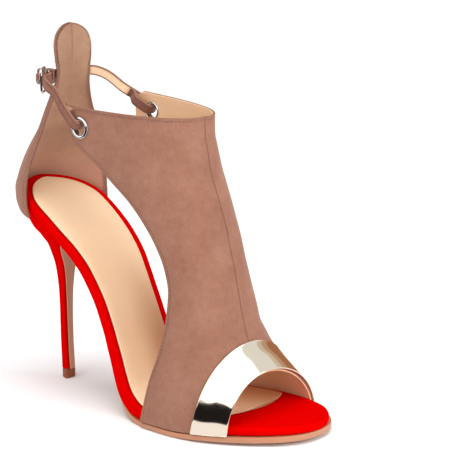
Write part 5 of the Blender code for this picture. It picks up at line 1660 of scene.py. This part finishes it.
def make_tab_loop():
    """Leather loop sewn behind the tab, which holds the ankle strap."""
    lie = CLEARANCE + TAB_LOOP_THICKNESS / 2
    bulge = STRAP_THICKNESS + 4 * CLEARANCE + TAB_LOOP_THICKNESS / 2
    points = [COUNTER.point(TAB_STRAP_ROW + step, 0.0, max(lie, share * bulge))
              for step, share in TAB_LOOP_ROWS]
    path = curve_through(points, 6)
    widths = np.array([(0.0, 1.0, 0.0)] * len(path))
    _, through = path_frames(path, widths)
    outer = 1 if through[len(path) // 2][0] < 0 else -1
    mesh = strap_mesh(path, widths, TAB_LOOP_WIDTH, TAB_LOOP_THICKNESS,
                      (TAUPE_SUEDE, SUEDE_EDGE, BEIGE_LINING), outer)
    add_piece("tab_loop_leather", mesh, "suede", "tab_loop")
    half = TAB_LOOP_WIDTH / 2 - STRAP_STITCH_INSET
    lines = []
    for middle in (4, len(path) - 4):
        line = [path[middle] + np.array((0, y, 0))
                + through[middle] * outer * TAB_LOOP_THICKNESS / 2
                for y in np.linspace(-half, half, 9)]
        lines.append((np.array(line), np.array([through[middle] * outer] * 9)))
    stitches("tab_loop_stitching", lines, STRAP_STITCH_PITCH, STRAP_STITCH_LENGTH,
             LOOP_THREAD_RADIUS)


# Camera, light and floor

VIEW_AZIMUTH = radians(39.75)
VIEW_ELEVATION = radians(12.1)
VIEW_TARGET = (0.12019, 0.0, 0.10621)
VIEW_DISTANCE = 0.803
FOCAL_PIXELS = 1541
PICTURE_PIXELS = 452
SENSOR_WIDTH = 36.0

# Strength of the white surroundings on the surfaces, in mirrors and behind the shoe
OPEN_WHITE = 0.40
MIRRORED_WHITE = 0.82
SEEN_WHITE = 1.05
OVERHEAD_FROM = (0.12, -0.22, 1.0)
OVERHEAD_STRENGTH = 2.27
OVERHEAD_SPREAD = radians(58)
# Each soft light: name, place, the point it faces, width, height and power in watts
FRONT_LIGHT = ("front softbox", (1.05, 0.16, 0.42), (0.08, 0.0, 0.08), 0.8, 0.7, 7.0)
SIDE_LIGHT = ("side softbox", (0.15, -1.15, 0.22), (0.12, 0.0, 0.04), 0.9, 0.5, 4.5)
FLOOR_HALF = 8.0
FLOOR_DROP = 0.0002

# What the mirror band and the metal see: cards that show in reflections alone. Each row of a
# card gives an azimuth round the card's centre and the heights it spans, in degrees
CARD_CENTRE = (0.136, -0.034, 0.015)
CARD_DISTANCE = 0.9
WHITE_CARD = [(azimuth, 12, 66) for azimuth in range(-75, 145, 9)]
DARK_CARD = [(-60, -1, 3), (-30, -1, 4), (-5, -1, 5), (3, -1, 8), (11, -1, 14), (18, -1, 18),
             (27, -1, 22), (45, -1, 24), (70, -1, 24)]
PALE_WARM_CARD = [(166, -1, 40), (172, -1, 41)]
MIDDLE_WARM_CARD = [(172, -1, 41), (179, -1, 42)]
WARM_CARD = [(179, -1, 42), (190, -1, 42), (200, -1, 40), (220, -1, 36)]
DARK_TONE = ((1.0, 0.85, 0.8), 0.012)
# Each card: name, rows, distance, colour and strength
CARDS = (("white_card", WHITE_CARD, 1.1 * CARD_DISTANCE, (1.0, 1.0, 1.0), 1.9),
         ("dark_card", DARK_CARD, CARD_DISTANCE, *DARK_TONE),
         ("pale_warm_card", PALE_WARM_CARD, CARD_DISTANCE, (0.66, 0.55, 0.45), 1.0),
         ("middle_warm_card", MIDDLE_WARM_CARD, CARD_DISTANCE, (0.52, 0.34, 0.23), 1.0),
         ("warm_card", WARM_CARD, CARD_DISTANCE, (0.40, 0.17, 0.09), 1.0))
# Two flat mats: at each azimuth, the reach where the pale one ends and the dark one begins
MAT_ROWS = [(-60, 0.075), (-20, 0.062), (-5, 0.052), (6, 0.056), (16, 0.074), (30, 0.085),
            (70, 0.10)]
MAT_HEIGHT = 0.0006
PALE_MAT_REACH = 0.006


def make_camera():
    """Camera at the photo's angle, with the shoe where the photo has it."""
    camera = bpy.data.cameras.new("camera")
    camera.sensor_width = SENSOR_WIDTH
    camera.lens = FOCAL_PIXELS / PICTURE_PIXELS * SENSOR_WIDTH
    camera.clip_start = 0.02
    camera.clip_end = 60.0
    level = cos(VIEW_ELEVATION)
    back = Vector((sin(VIEW_AZIMUTH) * level, -cos(VIEW_AZIMUTH) * level, sin(VIEW_ELEVATION)))
    right = Vector((cos(VIEW_AZIMUTH), sin(VIEW_AZIMUTH), 0.0))
    turn = Matrix((right, back.cross(right), back)).transposed().to_4x4()
    holder = shown("camera", camera)
    holder.matrix_world = Matrix.Translation(Vector(VIEW_TARGET) + back * VIEW_DISTANCE) @ turn
    bpy.context.scene.camera = holder


def glowing(name, colour, strength):
    """Material that glows evenly."""
    made = bpy.data.materials.new(name)
    made.use_nodes = True
    tree = made.node_tree
    tree.nodes.clear()
    glow = put(tree, "ShaderNodeEmission", {"Color": (*colour, 1.0), "Strength": strength})
    tree.links.new(glow.outputs[0], put(tree, "ShaderNodeOutputMaterial").inputs[0])
    return made


def add_card(name, points, colour, strength):
    """Card of two rows of points that shows in reflections alone."""
    mesh = bpy.data.meshes.new(name)
    mesh.from_pydata([tuple(point) for row in points for point in row], [],
                     [tuple(face) for face in grid_faces(2, len(points[0]))])
    mesh.materials.append(glowing(name, colour, strength))
    card = shown(name, mesh)
    for kind in ("camera", "diffuse", "shadow", "transmission", "volume_scatter"):
        setattr(card, "visible_" + kind, False)


def heading(azimuth):
    """Level direction at an azimuth round the card's centre, in degrees from -Y towards +X."""
    return np.array([sin(radians(azimuth)), -cos(radians(azimuth)), 0.0])


def make_cards():
    """Reflection cards round the shoe's front, between two heights at each azimuth, and mats."""
    for name, rows, distance, *tone in CARDS:
        points = [[np.array(CARD_CENTRE) + distance
                   * (heading(row[0]) * cos(radians(row[level]))
                      + np.array([0, 0, sin(radians(row[level]))])) for row in rows]
                  for level in (1, 2)]
        add_card(name, points, *tone)
    base = np.array([*CARD_CENTRE[:2], MAT_HEIGHT])
    near, meet, far = ([base + heading(azimuth) * pick for azimuth, pick in rows] for rows in (
        [(azimuth, PALE_MAT_REACH) for azimuth, _ in MAT_ROWS], MAT_ROWS,
        [(azimuth, CARD_DISTANCE) for azimuth, _ in MAT_ROWS]))
    add_card("dark_mat", [meet, far], *DARK_TONE)
    add_card("pale_mat", [near, meet], (1.0, 0.95, 0.96), 1.04)


def make_floor():
    """Plain pale floor."""
    half = FLOOR_HALF
    mesh = bpy.data.meshes.new("floor")
    mesh.from_pydata([(-half, -half, 0), (half, -half, 0), (half, half, 0), (-half, half, 0)], [],
                     [(0, 1, 2, 3)])
    made = bpy.data.materials.new("pale floor")
    made.use_nodes = True
    shader = made.node_tree.nodes["Principled BSDF"]
    shader.inputs["Base Color"].default_value = (0.95, 0.95, 0.95, 1.0)
    shader.inputs["Roughness"].default_value = 1.0
    shader.inputs["Specular IOR Level"].default_value = 0.0
    mesh.materials.append(made)
    floor = shown("floor", mesh)
    floor.location = (0, 0, -FLOOR_DROP)


def soft_light(name, place, aim, width, height, power):
    """Rectangular light that faces a point and that no mirror shows."""
    light = bpy.data.lights.new(name, "AREA")
    light.shape = "RECTANGLE"
    light.size = width
    light.size_y = height
    light.energy = power
    turn = (Vector(place) - Vector(aim)).to_track_quat("Z", "Y").to_matrix().to_4x4()
    holder = shown(name, light)
    holder.matrix_world = Matrix.Translation(Vector(place)) @ turn
    holder.visible_glossy = False


def make_lights():
    """Soft lights in front, above and beside the shoe."""
    soft_light(*FRONT_LIGHT)
    sun = bpy.data.lights.new("overhead light", "SUN")
    sun.energy = OVERHEAD_STRENGTH
    sun.angle = OVERHEAD_SPREAD
    holder = shown("overhead light", sun)
    holder.rotation_euler = Vector(OVERHEAD_FROM).to_track_quat("Z", "Y").to_euler()
    holder.visible_glossy = False
    soft_light(*SIDE_LIGHT)


def make_studio():
    """White surroundings and the view's plain tones."""
    world = bpy.data.worlds.new("white surroundings")
    world.use_nodes = True
    tree = world.node_tree
    background = tree.nodes["Background"]
    background.inputs["Color"].default_value = (1.0, 1.0, 1.0, 1.0)
    ray = put(tree, "ShaderNodeLightPath").outputs
    mirrored = math(tree, "MULTIPLY", ray["Is Glossy Ray"], MIRRORED_WHITE - OPEN_WHITE)
    seen = math(tree, "MULTIPLY", ray["Is Camera Ray"], SEEN_WHITE - OPEN_WHITE)
    lit = math(tree, "ADD", mirrored, OPEN_WHITE)
    tree.links.new(math(tree, "ADD", seen, lit), background.inputs["Strength"])
    bpy.context.scene.world = world
    view = bpy.context.scene.view_settings
    view.view_transform = "Standard"
    view.look = "None"
    view.exposure = 0.0
    view.gamma = 1.0


make_vamp()
make_toe_band()
make_counter()
make_board()
make_sock()
make_outsole()
make_heel()
make_heel_tip()
make_eyelet("eyelet_outer_ring", -1, "eyelet_outer")
make_eyelet("eyelet_inner_ring", 1, "eyelet_inner")
make_straps()
make_buckle()
make_keeper()
make_tab_loop()
make_camera()
make_floor()
make_studio()
make_lights()
make_cards()
